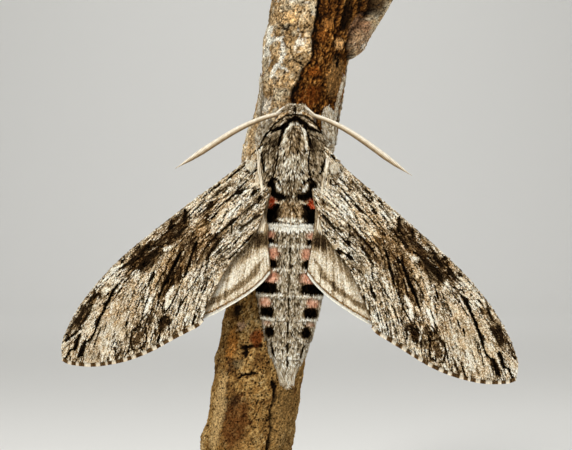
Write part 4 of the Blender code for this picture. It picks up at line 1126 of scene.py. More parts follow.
def body_relief(turn, height):
    """Height above the plain form: collar, shoulder plates, crest, rear tufts and rings of the abdomen."""
    side = np.abs(np.degrees(turn))
    arc = height + 0.0006 * side**2
    collar = (0.35 * hump(arc, 17.7, 0.6) - 0.45 * hump(arc, 16.75, 0.4)) * hump(side, 0, 80)
    plate = 0.5 * hump(side, 52, 17) * smooth((height - 5.6) / 1.5) * smooth((15.8 - height) / 1.2)
    crest = 0.4 * hump(side, 0, 15) * smooth((height - 5) / 3) * smooth((17.0 - height) / 1.0)
    seam = -0.18 * hump(side, 27, 5) * smooth((height - 7) / 2) * smooth((16.6 - height) / 1.0)
    tuft = 0.6 * hump(side, 34, 14) * hump(height, 6.9, 1.0)
    waist = -0.25 * hump(side, 0, 60) * hump(height, 4.0, 0.7)
    rings = 0.0
    ahead = FUR_END
    for edge in [*SEGMENTS, ABDOMEN_END]:
        inside = (height <= ahead) & (height > edge)
        rings = rings + np.where(inside, SEGMENT_STEP * (0.5 - (height - edge) / (ahead - edge)), 0.0)
        ahead = edge
    upper = np.where(side < 108, 1.0, 0.3)
    return (collar + plate + crest + seam + tuft + waist) * upper + rings * smooth((FUR_END - height) / 1.5)


def from_back(columns):
    """How many degrees round the body each column is from the middle of its back."""
    return np.abs(np.linspace(-180, 180, columns, endpoint=False))[None, :]


def body_sheet(rows, columns, inset):
    """The body's form with its relief, drawn in by the inset."""
    stations = spline(BODY_FORM, rows)
    height, wide, top, bottom, middle = (stations[:, k, None] for k in range(5))
    turn = around(columns)[None, :]
    deep = np.where(np.abs(turn) < math.pi / 2, middle - top, bottom - middle)
    across = np.maximum(wide - inset, 0.1) * np.sin(turn)
    up = -np.maximum(deep - inset, 0.1) * np.cos(turn)
    reach = np.hypot(across, up)
    grow = 1 + body_relief(turn, height) * smooth(reach / 2) / np.maximum(reach, 0.5)
    return np.stack([across * grow, middle + up * grow, height + 0 * turn], axis=-1)


def band(z, start, stop, edge=0.2):
    """1 between two heights of the body, start above stop, with soft edges."""
    return smooth((start - z) / (2 * edge) + 0.5) * smooth((z - stop) / (2 * edge) + 0.5)


def body_marks(points):
    """Markings of head, thorax and abdomen, by the place on the back and how far round it is."""
    height = points[..., 2]
    x = points[..., 0] - MARK_SHIFT * smooth((height - 9) / 5) * smooth((19.5 - height) / 1.5)
    x = np.abs(x) + 0.09 * noise(points[..., 0] * 2.6, height * 2.6, seed=71)
    z = height + 0.12 * noise(points[..., 0] * 2.2 + 9, height * 2.2, seed=72)
    round_turn = np.degrees(np.arctan2(np.abs(points[..., 0]), 1.2 - points[..., 1]))
    reach = 95 + 9 * smooth((4 - height) / 2)
    back = smooth((reach - round_turn) / (reach - 82))
    marks = Marks(x, 0.74, 0.30)
    marks.lay(back, 0.47, 0.22)
    marks.patch(x, z, *WAIST_BLOCK, 0, 0.0, 0.1, back, 0.14, square=4.0)
    for middle, size, tone, warmth, rust in THORAX_PATCHES:
        marks.patch(x, z, middle, size, 0, tone, warmth, 0.95 * back, 0.3, rust)
    for path, width, tone, warmth in THORAX_LINES:
        marks.line(x, z, path, width, tone, warmth, back, 0.08)
    on_abdomen = smooth((0.35 - z) / 0.15) * back
    marks.lay(on_abdomen, 0.52 + 0.20 * smooth((-20 - z) / 3), 0.14)
    marks.lay(on_abdomen * 0.7 * smooth((x - 4.6) / 0.8) * smooth((-11.5 - z) / 1.5), 0.62, 0.4)
    ragged = z + 0.35 * noise(points[..., 0] * 5, seed=76)
    marks.lay(back * smooth((0.25 - z) / 0.1) * smooth((ragged + 1.25) / 0.35), 1.0, 0.05)
    for middle, size, tone, rose, strength, edge, square in ABDOMEN_BLOCKS:
        marks.patch(x, z, middle, size, 0, tone, 0.35, strength * back, edge, square=square, rose=rose)
    for path, width, strength in ABDOMEN_DASHES:
        marks.line(x, z, path, width, 0.0, 0.1, strength * back)
    for edge in SEGMENTS[1:-2]:
        marks.lay((0.6 + 0.4 * smooth((x - 1.6) / 0.8)) * back * hump(z, edge + 0.02, 0.21), 0.98, 0.1)
    for start, stop, strength in MEDIAN_DASHES:
        dash = hump(points[..., 0] + 0.1 * noise(height * 1.1, seed=75), 0, 0.13)
        marks.lay(strength * dash * band(z, start, stop), 0.02, 0.1)
    marks.lay(back * hump(z, 0.36, 0.09) * smooth((3.0 - x) / 0.5), 0.05, 0.2)
    return marks


def hair_grain(points, seed):
    """Clumps of paler and darker hair, a little longer than they are wide."""
    x, z = points[:, 0], points[:, 2]
    return noise(x / 0.19, z / 0.27, seed=seed) + 0.6 * noise(x / 0.36, z / 0.7, seed=seed + 1)


def outside_eye(points):
    """1 outside the eyes and 0 where they stand out of the head."""
    away = (np.abs(points[..., :1]) * [1, 0, 0] + points * [0, 1, 1] - EYE_MIDDLE) / EYE_SIZE
    return smooth((np.linalg.norm(away, axis=-1) - 1.0) / 0.12)


def body_lie(root, ahead, normal, rng, spread):
    """The coat's lie: back along the body, a little away from the middle, with some straying."""
    outwards = np.sign(root[:, :1]) * np.array([[1.0, 0.0, 0.0]])
    thorax = smooth((root[:, 2:] - 4) / 3) * smooth(np.abs(root[:, :1]) / 1.5)
    lie = ahead + outwards * 0.28 * thorax + rng.normal(0, spread, root.shape)
    return unit(lie - normal * (lie * normal).sum(axis=1, keepdims=True))


def coat_thorax(sheet, density):
    """Hair of head and thorax, in fine locks."""
    coat = Coat("thorax_fur", 301)
    rng = coat.rng
    count = THORAX_LOCKS
    place = sheet.spread(count, density, 0.21)
    root, ahead, normal = sheet.frame_at(*place)
    lie = body_lie(root, ahead, normal, rng, 0.16)
    z = root[:, 2]
    length = 0.85 - 0.3 * smooth((z - 17.0) / 1.5) - 0.25 * hump(z, 5.0, 1.6)
    length = length * rng.uniform(0.75, 1.25, count)
    rise = 0.26 + 0.12 * smooth((5.4 - z) / 1.2)
    seen = root + lie * (SEEN_SHARE * length)[:, None]
    marks = body_marks(seen).speckle(rng, 0.26, 0.50 * hair_grain(seen, 77))
    coat.locks(root, lie, normal, length, rng.uniform(0.12, 0.19, count), rise * rng.uniform(0.6, 1.3, count),
               rng.uniform(0.05, 0.14, count), marks.colours(), sheet.unrolled(*place))
    coat.finish("fur")


def coat_abdomen(sheet, density):
    """Flat narrow scales of the abdomen, with the hair that fringes its rings, its sides and its tip."""
    coat = Coat("abdomen_scales", 302)
    rng = coat.rng
    count = ABDOMEN_SCALES
    place = sheet.spread(count, density, 0.63)
    root, ahead, normal = sheet.frame_at(*place)
    lie = body_lie(root, ahead, normal, rng, 0.12)
    length = rng.uniform(0.5, 0.85, count)
    seen = root + lie * (SEEN_SHARE * length)[:, None]
    marks = body_marks(seen).speckle(rng, 0.26, 0.40 * hair_grain(seen, 79))
    coat.scales(root + normal * 0.02, lie, normal, length, rng.uniform(0.12, 0.2, count),
                rng.uniform(0.1, 0.32, count), marks.colours(), sheet.unrolled(*place), 0.5)
    height = sheet.points[:-1, :, 2]
    edges = sum(hump(height, edge + 0.45, 0.3) for edge in SEGMENTS)
    sides = hump(from_back(BODY_COLUMNS), 90, 22)
    hairy = 0.5 * edges + sides * 0.25 + 0.9 * smooth((-24.0 - height) / 2)
    count = ABDOMEN_LOCKS
    place = sheet.spread(count, hairy * (height < 3), 0.37)
    root, ahead, normal = sheet.frame_at(*place)
    lie = body_lie(root, ahead, normal, rng, 0.15)
    marks = body_marks(root + lie * 0.6).speckle(rng, 0.25)
    length = 0.8 + 0.5 * smooth((-23 - root[:, 2]) / 3)
    coat.locks(root, lie, normal, length * rng.uniform(0.7, 1.2, count), rng.uniform(0.10, 0.15, count),
               rng.uniform(0.08, 0.26, count), rng.uniform(0.03, 0.08, count), marks.colours(),
               sheet.unrolled(*place))
    coat.finish("fur")


def add_tuft(coat, root, tip, bow, root_spread, tip_spread, width, count, tone, warmth):
    """A leaf-shaped bundle of long hair."""
    rng = coat.rng
    roots = np.asarray(root) + root_spread * np.clip(rng.normal(0, 1, (count, 3)), -1.7, 1.7) * [1, 0.5, 1]
    tips = np.asarray(tip) + tip_spread * np.clip(rng.normal(0, 1, (count, 3)), -1.7, 1.7) * [1, 0.5, 1]
    middle = (roots + tips) / 2 + [0, -bow, 0] + rng.normal(0, 0.12, (count, 3))
    t = np.linspace(0, 1, 6)[None, :, None]
    paths = roots[:, None] * (1 - t) ** 2 + middle[:, None] * 2 * t * (1 - t) + tips[:, None] * t**2
    marks = Marks(roots[:, 0], tone, warmth).speckle(rng, 0.22)
    place = (0.5 + roots[:, 0] / 16, 0.5 - roots[:, 2] / 60)
    coat.strands(paths, rng.uniform(0.8, 1.2, count) * width, marks.colours(), place)


def make_body():
    sheet = Sheet(body_sheet(BODY_ROWS, BODY_COLUMNS, COAT_DEPTH), closed=True)
    # The skin is painted darker than its markings, as painted shade in the gaps between the hairs.
    skin = ring_mesh(sheet.points, body_marks(sheet.points).colours() * 0.7)
    add_piece("body_skin", skin, "skin", "fur", "head", "thorax", "abdomen")
    height = sheet.points[:-1, :, 2]
    cover = 0.35 + 0.65 * smooth((125 - from_back(BODY_COLUMNS)) / 30)
    cover = cover * outside_eye(sheet.points[:-1])
    coat_thorax(sheet, smooth((height - FUR_END) / 0.4 + 0.5) * cover)
    coat_abdomen(sheet, smooth((FUR_END + 0.3 - height) / 0.4 + 0.5) * cover)
    tufts = Coat("long_hair", 303)
    for side in SIDES.values():
        for root, tip, *rest in LONG_TUFTS:
            add_tuft(tufts, mirrored(root, side), mirrored(tip, side), *rest)
    tufts.finish("fur")


# Rounded pieces of the head

EYE_MIDDLE = (2.05, 2.4, 17.7)
EYE_SIZE = (1.5, 1.9, 1.85)
PALP_MIDDLE = (1.25, 3.6, 18.65)
PALP_SIZE = (1.05, 1.25, 2.25)
PALP_TILT = math.radians(14)
SHOULDER_MIDDLE = (7.05, -2.85, 9.95)
SHOULDER_SIZE = (0.85, 0.6, 1.0)
# The skin of palps and shoulders lies this deep under the ends of their hair.
KNOB_COAT = 0.22
# The coiled tongue: its middle across and up, its turns, and its reach and thickness where it starts.
TONGUE_MIDDLE = (3.75, 17.0)
TONGUE_TURNS = 2.6
TONGUE_REACH = 1.25
TONGUE_THICKNESS = 0.2


def ellipsoid(middle, size, rows, columns, tilt=0.0):
    """Rings of points over a rounded piece that leans by tilt about X, from its top down."""
    polar = np.linspace(0.04, math.pi - 0.04, rows)[:, None]
    turn = around(columns)[None, :]
    x = size[0] * np.sin(polar) * np.sin(turn)
    y = -size[1] * np.sin(polar) * np.cos(turn)
    z = size[2] * np.cos(polar) + 0 * turn
    c, s = math.cos(tilt), math.sin(tilt)
    return np.stack([x + middle[0], y * c - z * s + middle[1], y * s + z * c + middle[2]], axis=-1)


def make_knob(name, middle, size, tilt, upward, tone, count, seed, *nodes):
    """A rounded piece covered in small hair that lies towards its top or its foot."""
    sheet = Sheet(ellipsoid(middle, [half - KNOB_COAT for half in size], 24, 28, tilt), closed=True)
    # The skin is painted a little darker than the hair, as painted shade in the gaps between the hairs.
    colours = Marks(sheet.points[..., 2], tone - 0.1, 0.25).colours()
    add_piece(f"{name}_skin", ring_mesh(sheet.points, colours), "skin", "fur", *nodes)
    coat = Coat(f"{name}_fur", seed)
    rng = coat.rng
    place = sheet.spread(count, seed=0.4)
    root, ahead, normal = sheet.frame_at(*place)
    lie = unit(ahead * (-1 if upward else 1) + rng.normal(0, 0.15, root.shape))
    marks = Marks(root[:, 0], tone, 0.25).speckle(rng, 0.24, 0.3 * hair_grain(root, 96))
    coat.locks(root, lie, normal, rng.uniform(0.4, 0.8, count), np.full(count, 0.13),
               rng.uniform(0.08, 0.2, count), np.full(count, 0.05), marks.colours(), sheet.unrolled(*place))
    coat.finish("fur")


def make_tongue():
    """The long tongue, coiled between the palps."""
    y, z = TONGUE_MIDDLE
    share = np.linspace(0, 1, 130)
    angle = 2 * math.pi * TONGUE_TURNS * share
    reach = TONGUE_REACH * (1 - 0.75 * share)
    path = np.stack([0 * share, y + reach * np.sin(angle) * 0.95, z - reach * np.cos(angle)], axis=1)
    thick = TONGUE_THICKNESS * (1 - 0.6 * share)
    rings = tube_rings(path, thick, thick, 10, (1.0, 0.0, 0.0))
    add_piece("tongue_coil", ring_mesh(rings), "claw", "leg")


def make_head_pieces():
    for word, side in SIDES.items():
        dome = ring_mesh(ellipsoid(mirrored(EYE_MIDDLE, side), EYE_SIZE, 36, 48))
        add_piece(f"eye_{word}_dome", dome, "eye", "eye", f"eye_{word}")
        middle = mirrored(PALP_MIDDLE, side)
        make_knob(f"palp_{word}", middle, PALP_SIZE, PALP_TILT, True, 0.54, 900, 320 + side, f"palp_{word}")
        middle = mirrored(SHOULDER_MIDDLE, side)
        make_knob(f"shoulder_{word}", middle, SHOULDER_SIZE, 0.0, False, 0.86, 420, 330 + side)
    make_tongue()


# Tubes: antennae and legs


def tube_rings(path, wide, deep, columns, up=(0.0, -1.0, 0.0)):
    """Rings of points round a path. wide and deep are half sizes at each of its points."""
    ahead = unit(np.gradient(path, axis=0))
    up = unit(np.asarray(up) - ahead * (ahead @ np.asarray(up))[:, None])
    across = np.cross(up, ahead)
    turn = around(columns)[None, :, None]
    return (path[:, None] + across[:, None] * np.asarray(wide)[:, None, None] * np.sin(turn)
            + up[:, None] * np.asarray(deep)[:, None, None] * np.cos(turn))


def bezier(guides, count):
    t = np.linspace(0, 1, count)[:, None]
    weights = [(1 - t) ** 3, 3 * t * (1 - t) ** 2, 3 * t**2 * (1 - t), t**3]
    return sum(np.asarray(guide)[None] * weight for guide, weight in zip(guides, weights))


ANTENNA_GUIDES = [(1.9, 0.3, 19.0), (8.9, -0.6, 17.45), (12.2, -1.2, 14.0), (20.1, -0.4, 9.0)]
ANTENNA_RADII = [(0.0, 0.36), (0.12, 0.42), (0.5, 0.53), (0.78, 0.56), (0.88, 0.42), (0.96, 0.16),
                 (1.0, 0.07)]
ANTENNA_SEGMENTS = 96


def make_antennae():
    count, columns = ANTENNA_SEGMENTS * 5 + 1, 14
    share = np.linspace(0, 1, count)
    radius = np.interp(share, *zip(*ANTENNA_RADII))
    ridge = np.abs(np.sin(math.pi * share * ANTENNA_SEGMENTS))
    radius = np.maximum(radius - 0.05 + 0.035 * ridge**0.6 * smooth(radius / 0.3), 0.05)
    turn = around(columns)[None, :]
    for word, side in SIDES.items():
        # Paler on the upper, outer side and browner below: partly the antenna's own two tones, partly a
        # painted highlight on top and painted shade underneath.
        upper = smooth((side * np.sin(turn) + 0.75) / 1.2) * smooth((np.cos(turn) + 0.6) / 0.8)
        tone = 0.42 + 0.42 * upper + 0.34 * (ridge[:, None] - 0.7)
        tone = tone + 0.05 * noise(share[:, None] * 60, turn, seed=8)
        colours = Marks(tone, tone, 0.12 + 0.4 * (1 - upper) + 0 * tone).colours()
        path = bezier([mirrored(guide, side) for guide in ANTENNA_GUIDES], count)
        shaft = ring_mesh(tube_rings(path, radius, radius * 0.85, columns), colours)
        add_piece(f"antenna_{word}_shaft", shaft, "antenna", "antenna", f"antenna_{word}")


# Legs. Hip and trochanter lie in the moth's frame; knee, ankle and toe lie round the branch, as an
# angle from the side the moth is on, a height in the world and a distance off the bark.
LEGS = {
    "foreleg": {"hip": (2.6, 3.0, 12.4), "trochanter": (6.3, 5.5, 13.6), "knee": (31, 78.2, 1.9),
                "ankle": (52, 76.6), "toe": (59, 84.2), "thigh": (1.15, 0.66), "spurs": 0},
    "midleg": {"hip": (2.9, 3.4, 9.2), "trochanter": (6.4, 6.1, 8.4), "knee": (62, 67.0, 2.2),
               "ankle": (86, 62.6), "toe": (106, 57.4), "thigh": (0.8, 0.6), "spurs": 1},
    "hindleg": {"hip": (2.6, 3.8, 6.4), "trochanter": (6.2, 6.7, 4.2), "knee": (62, 57.0, 2.1),
                "ankle": (84, 50.4), "toe": (102, 44.4), "thigh": (0.85, 0.62), "spurs": 2},
}
LEFT_FOREKNEE_DROP = 1.8
SHIN_RADII = (0.56, 0.4)
TARSUS_RADII = (0.38, 0.3)
TARSUS_STEPS = 5
CLAW_LENGTH = 0.9
SPUR_LENGTH = 1.9
BARK_CLEARANCE = 0.42
LEG_COAT = 0.12
LEG_COLUMNS = 18


def leg_segment(path, wide, deep, marks_of):
    """One closed segment with rounded ends: its sheet, and its mesh with colours."""
    share = np.linspace(0, 1, len(path))
    closing = np.sqrt(np.clip(1 - np.abs(2 * share - 1) ** 14, 0.02, 1))
    rings = tube_rings(path, wide * closing, deep * closing, LEG_COLUMNS)
    sheet = Sheet(rings, closed=True)
    tone = marks_of(share[:, None] + np.zeros((1, LEG_COLUMNS)))
    # The skin is painted darker than the scales, as painted shade in the gaps between them.
    return sheet, ring_mesh(rings, Marks(tone, tone, 0.25).colours() * 0.75)


def coat_leg(coat, sheet, count, length, marks_of):
    """Covers one segment of a leg with scales about three times as long as wide."""
    rng = coat.rng
    place = sheet.spread(count, seed=rng.uniform())
    root, ahead, normal = sheet.frame_at(*place)
    lie = unit(ahead + rng.normal(0, 0.2, root.shape))
    tone = marks_of(place[0] / (len(sheet.points) - 1))
    marks = Marks(tone, tone, 0.22).speckle(rng, 0.24, 0.3 * noise(*(root.T / 0.3), seed=95))
    coat.scales(root, lie, normal, length * rng.uniform(0.7, 1.3, count),
                0.35 * length * rng.uniform(0.8, 1.2, count), 0.3 * length * rng.uniform(0.4, 1.6, count),
                marks.colours(), sheet.unrolled(*place), 0.45)


def banded(share):
    """The foot is dark, with a pale ring where each of its steps ends."""
    step = (share * TARSUS_STEPS) % 1.0
    return 0.26 + 0.6 * smooth((step - 0.55) / 0.2)


def pale(share):
    return 0.70 + 0.05 * np.sin(share * 9)


def horn(path, radius):
    """A curved point, such as a claw or a spur."""
    share = np.linspace(0, 1, len(path))
    thick = radius * (1 - share) ** 0.7 + 0.02
    return ring_mesh(tube_rings(path, thick, thick, 9))


def make_leg(kind, word, side):
    """A leg from its hip to its claws, with the foot on the bark."""
    shape = LEGS[kind]
    name = f"{kind}_{word}"

    def round_branch(degrees, height, off):
        return perch_place(math.radians(side * degrees), np.float64(height), off)

    hip, trochanter = (to_world(mirrored(shape[joint], side)) for joint in ("hip", "trochanter"))
    degrees, height, off = shape["knee"]
    knee = round_branch(degrees, height - LEFT_FOREKNEE_DROP * (name == "foreleg_left"), off)
    standing = BARK_CLEARANCE + TARSUS_RADII[0]
    ankle = round_branch(*shape["ankle"], standing)
    share = np.linspace(0, 1, 40)
    (d0, z0), (d1, z1) = shape["ankle"], shape["toe"]
    foot = np.array([round_branch(mix(d0, d1, s), mix(z0, z1, s), standing) for s in share])
    wide, deep = shape["thigh"]
    thigh = wide * (0.48 + 0.62 * np.sin(math.pi * (0.12 + 0.8 * share))) - LEG_COAT
    shin = mix(*SHIN_RADII, share) - LEG_COAT
    step = (share * TARSUS_STEPS) % 1.0
    tarsus = mix(*TARSUS_RADII, share) * (0.78 + 0.22 * smooth(step / 0.7)) - 0.06
    foot_marks, foot_scale = (pale, 0.34) if kind == "foreleg" else (banded, 0.2)
    # Each segment: path, half width, half depth, markings, number of scales and their length.
    segments = [
        (mix(hip, trochanter, share[:, None]), wide * 0.9 - LEG_COAT, deep * 1.1 - LEG_COAT, pale, 500, 0.6),
        (mix(trochanter, knee, share[:, None]), thigh, deep - LEG_COAT, pale, 1100, 0.5),
        (mix(knee, ankle, share[:, None]), shin, shin, pale, 500, 0.42),
        (foot, tarsus, tarsus, foot_marks, 650, foot_scale),
    ]
    coat = Coat(f"{name}_scales", 400 + 10 * list(LEGS).index(kind) + side)
    parts = []
    for path, across, through, marks_of, count, length in segments:
        sheet, mesh = leg_segment(path, across + 0 * share, through + 0 * share, marks_of)
        parts.append(mesh)
        coat_leg(coat, sheet, count, length, marks_of)
    add_piece(f"{name}_skin", joined(parts), "leg", "leg", name, place=None)
    coat.finish("leg", None)
    ahead = unit(foot[-1] - foot[-3])
    sideways = unit(np.cross(ahead, [0.0, 1.0, 0.0]))
    inward = unit(np.array([perch_x(foot[-1][2]), PERCH_Y, foot[-1][2]]) - foot[-1])
    t = np.linspace(0, 1, 9)[:, None]
    horns = []
    for spread in (-1, 1):
        along = unit(ahead + sideways * 0.5 * spread)
        horns.append(horn(foot[-1] - ahead * 0.15 + along * CLAW_LENGTH * t + inward * 0.35 * t**2, 0.15))
    along = unit(ankle - knee)
    for k in range(2 * shape["spurs"]):
        start = mix(knee, ankle, 0.9 if k < 2 else 0.55)
        outwards = unit(np.cross(along, [0.0, 0.0, 1.0])) * (1 if k % 2 else -1)
        horns.append(horn(start - along * 0.2 + unit(along + outwards * 0.45) * SPUR_LENGTH * t, 0.2))
    add_piece(f"{name}_claws", joined(horns), "claw", "leg", place=None)


# Branch

PERCH_BOTTOM = 14.3
PERCH_TOP = 99.7
PERCH_RADIUS = 7.75
PERCH_Y = 2.4
PERCH_MID_X = -0.82
PERCH_LEAN = 0.15
FORK_START = 88.0
FORK_SPREAD = 0.5
FORK_SWELL = 0.9
# How much closer together the columns of the branch's mesh stand on the moth's side.
FRONT_CROWDING = 0.42

# Places on the branch are (millimetres right of its middle line as seen from the front, height).
WOOD_EDGE = [(5.0, 56.0), (3.0, 62.0), (0.4, 69.0), (-1.2, 75.0), (-1.65, 79.0), (-2.1, 81.2), (-1.2, 83.1),
             (-0.7, 85.4), (0.9, 86.7), (0.3, 90.0), (0.55, 93.5), (0.5, 97.2), (0.5, 101.0)]
# Cracks of the bark: path and half width.
BARK_CRACKS = [
    ([(-5.7, 93.4), (-4.9, 92.5), (-4.2, 92.4), (-3.8, 93.0)], 0.16),
    ([(-2.0, 86.7), (-0.5, 86.1)], 0.14),
    ([(-3.6, 36.6), (-2.4, 36.7), (-0.3, 37.0)], 0.30),
    ([(-3.0, 36.4), (-2.9, 34.9)], 0.26),
    ([(-3.6, 31.2), (-3.2, 31.8), (-0.3, 32.2)], 0.18),
    ([(2.6, 30.6), (3.1, 29.6), (3.4, 27.5), (3.2, 25.3), (3.5, 23.3), (3.6, 21.6), (3.5, 18.8), (3.4, 14.0)],
     0.26),
]
# Right of this line, high on the branch, a raised flap of bark lies over the bare wood.
FLAP_EDGE = [(30.0, 80.0), (30.0, 87.2), (8.1, 87.6), (7.7, 89.2), (7.7, 91.3), (9.2, 93.6), (10.7, 96.1),
             (11.4, 101.0)]
# Patches of other colours: middle, half sizes, colour and strength.
BRANCH_PATCHES = [
    ((-5.5, 43.1), (0.8, 1.2), (28, 20, 12), 0.95), ((-4.2, 40.4), (0.9, 0.7), (178, 146, 116), 0.8),
    ((-1.3, 38.4), (1.1, 1.4), (104, 52, 20), 0.9), ((-4.2, 33.6), (1.0, 0.8), (84, 74, 54), 0.7),
    ((-2.8, 23.5), (2.2, 4.8), (84, 48, 20), 0.75), ((-3.6, 27.3), (0.9, 1.0), (40, 24, 12), 0.8),
    ((-6.2, 25.0), (0.9, 6.5), (186, 156, 106), 0.7), ((-5.6, 37.2), (0.9, 2.4), (166, 108, 46), 0.6),
    ((-1.0, 19.0), (1.8, 1.6), (150, 112, 62), 0.6), ((5.2, 24.0), (1.6, 7.0), (134, 104, 60), 0.7),
    ((2.0, 84.8), (1.2, 0.8), (120, 64, 20), 0.6), ((1.9, 80.5), (1.9, 1.7), (96, 48, 14), 0.6),
    ((2.6, 91.0), (1.0, 0.9), (106, 60, 22), 0.6), ((3.1, 93.3), (0.9, 0.8), (160, 108, 54), 0.5),
    ((6.5, 95.2), (1.0, 3.0), (12, 7, 4), 0.9), ((8.5, 96.8), (0.45, 1.6), (12, 7, 4), 0.9),
    ((6.2, 84.0), (1.6, 3.2), (150, 112, 66), 0.6), ((-6.0, 79.0), (1.0, 1.3), (206, 198, 182), 0.7),
    ((6.3, 86.9), (0.35, 1.3), (8, 6, 4), 1.0), ((6.0, 89.9), (0.8, 0.8), (200, 154, 100), 0.8),
    ((9.4, 93.2), (0.9, 0.9), (146, 96, 60), 0.7), ((10.9, 97.6), (1.3, 2.4), (46, 30, 16), 0.75),
    ((-3.9, 94.2), (1.3, 1.1), (214, 172, 116), 0.6), ((-1.6, 89.8), (0.6, 0.5), (228, 218, 200), 0.7),
    ((9.0, 91.6), (1.6, 3.2), (146, 112, 84), 0.6),
]
# Pale lines of lichen: path and half width.
LICHEN_LINES = [
    ([(-7.3, 93.0), (-7.0, 90.2), (-7.1, 88.2)], 0.45),
    ([(-6.8, 90.4), (-5.0, 90.6), (-4.3, 88.4), (-4.2, 86.6), (-5.1, 85.4), (-5.7, 84.2)], 0.28),
    ([(-4.4, 85.6), (-3.0, 84.8)], 0.2),
]
BARK_COLOURS = linear([(26, 17, 9), (98, 74, 44), (150, 120, 80), (186, 160, 122), (214, 198, 166)])
GREY_COLOURS = linear([(36, 28, 20), (112, 96, 74), (160, 144, 116), (194, 180, 152), (220, 210, 188)])
LOWER_COLOURS = linear([(20, 12, 6), (84, 56, 28), (132, 98, 52), (168, 136, 84), (200, 176, 130)])
WOOD_COLOURS = linear([(10, 6, 3), (42, 22, 8), (88, 52, 18), (146, 98, 44), (190, 146, 88)])
SAWN_COLOURS = linear([(120, 88, 56), (172, 136, 94), (206, 176, 134)])
LICHEN = linear((216, 213, 200))


def perch_x(height):
    """Where the branch's middle line is at a height."""
    return PERCH_MID_X + PERCH_LEAN * (height - BODY_PLACE[2])


def perch_radius(turn, height):
    """Distance of the bark from the branch's middle line. turn is 0 on the moth's side and grows to +X."""
    degrees = np.degrees(turn)
    plates = 0.16 * np.sin(3 * turn + 0.11 * height) + 0.13 * np.sin(5 * turn - 0.17 * height + 1.0)
    rings = 0.12 * np.sin(0.9 * height + 2 * np.sin(2 * turn)) * np.sin(2 * turn + 0.6)
    ridge = 1.25 * hump(degrees, -97, 15) * hump(height, 71.5, 6)
    chip = 0.8 * hump(degrees, -93, 12) * hump(height, 20.0, 2.6)
    bulge = 0.45 * hump(degrees, -88, 28) * (hump(height, 33.5, 7) + hump(height, 90.5, 3))
    widening = FORK_SPREAD * np.maximum(0.0, height - FORK_START)
    widening = widening + FORK_SWELL * smooth((height - FORK_START + 0.5) / 2)
    return PERCH_RADIUS + plates + rings + ridge + chip + bulge + widening * hump(degrees, 96, 24)


def perch_place(turn, height, off=0.0):
    """The place round the branch that lies so far off its bark."""
    reach = perch_radius(turn, height) + off
    x = perch_x(height) + reach * np.sin(turn)
    y = PERCH_Y - reach * np.cos(turn)
    return np.stack([x, y, height + 0 * turn], axis=-1)


def ramp(colours, tone):
    """The colour at each tone, from the first colour at 0 to the last one at 1."""
    places = np.linspace(0, 1, len(colours))
    return np.stack([np.interp(np.clip(tone, 0, 1), places, colours[:, k]) for k in range(3)], axis=-1)


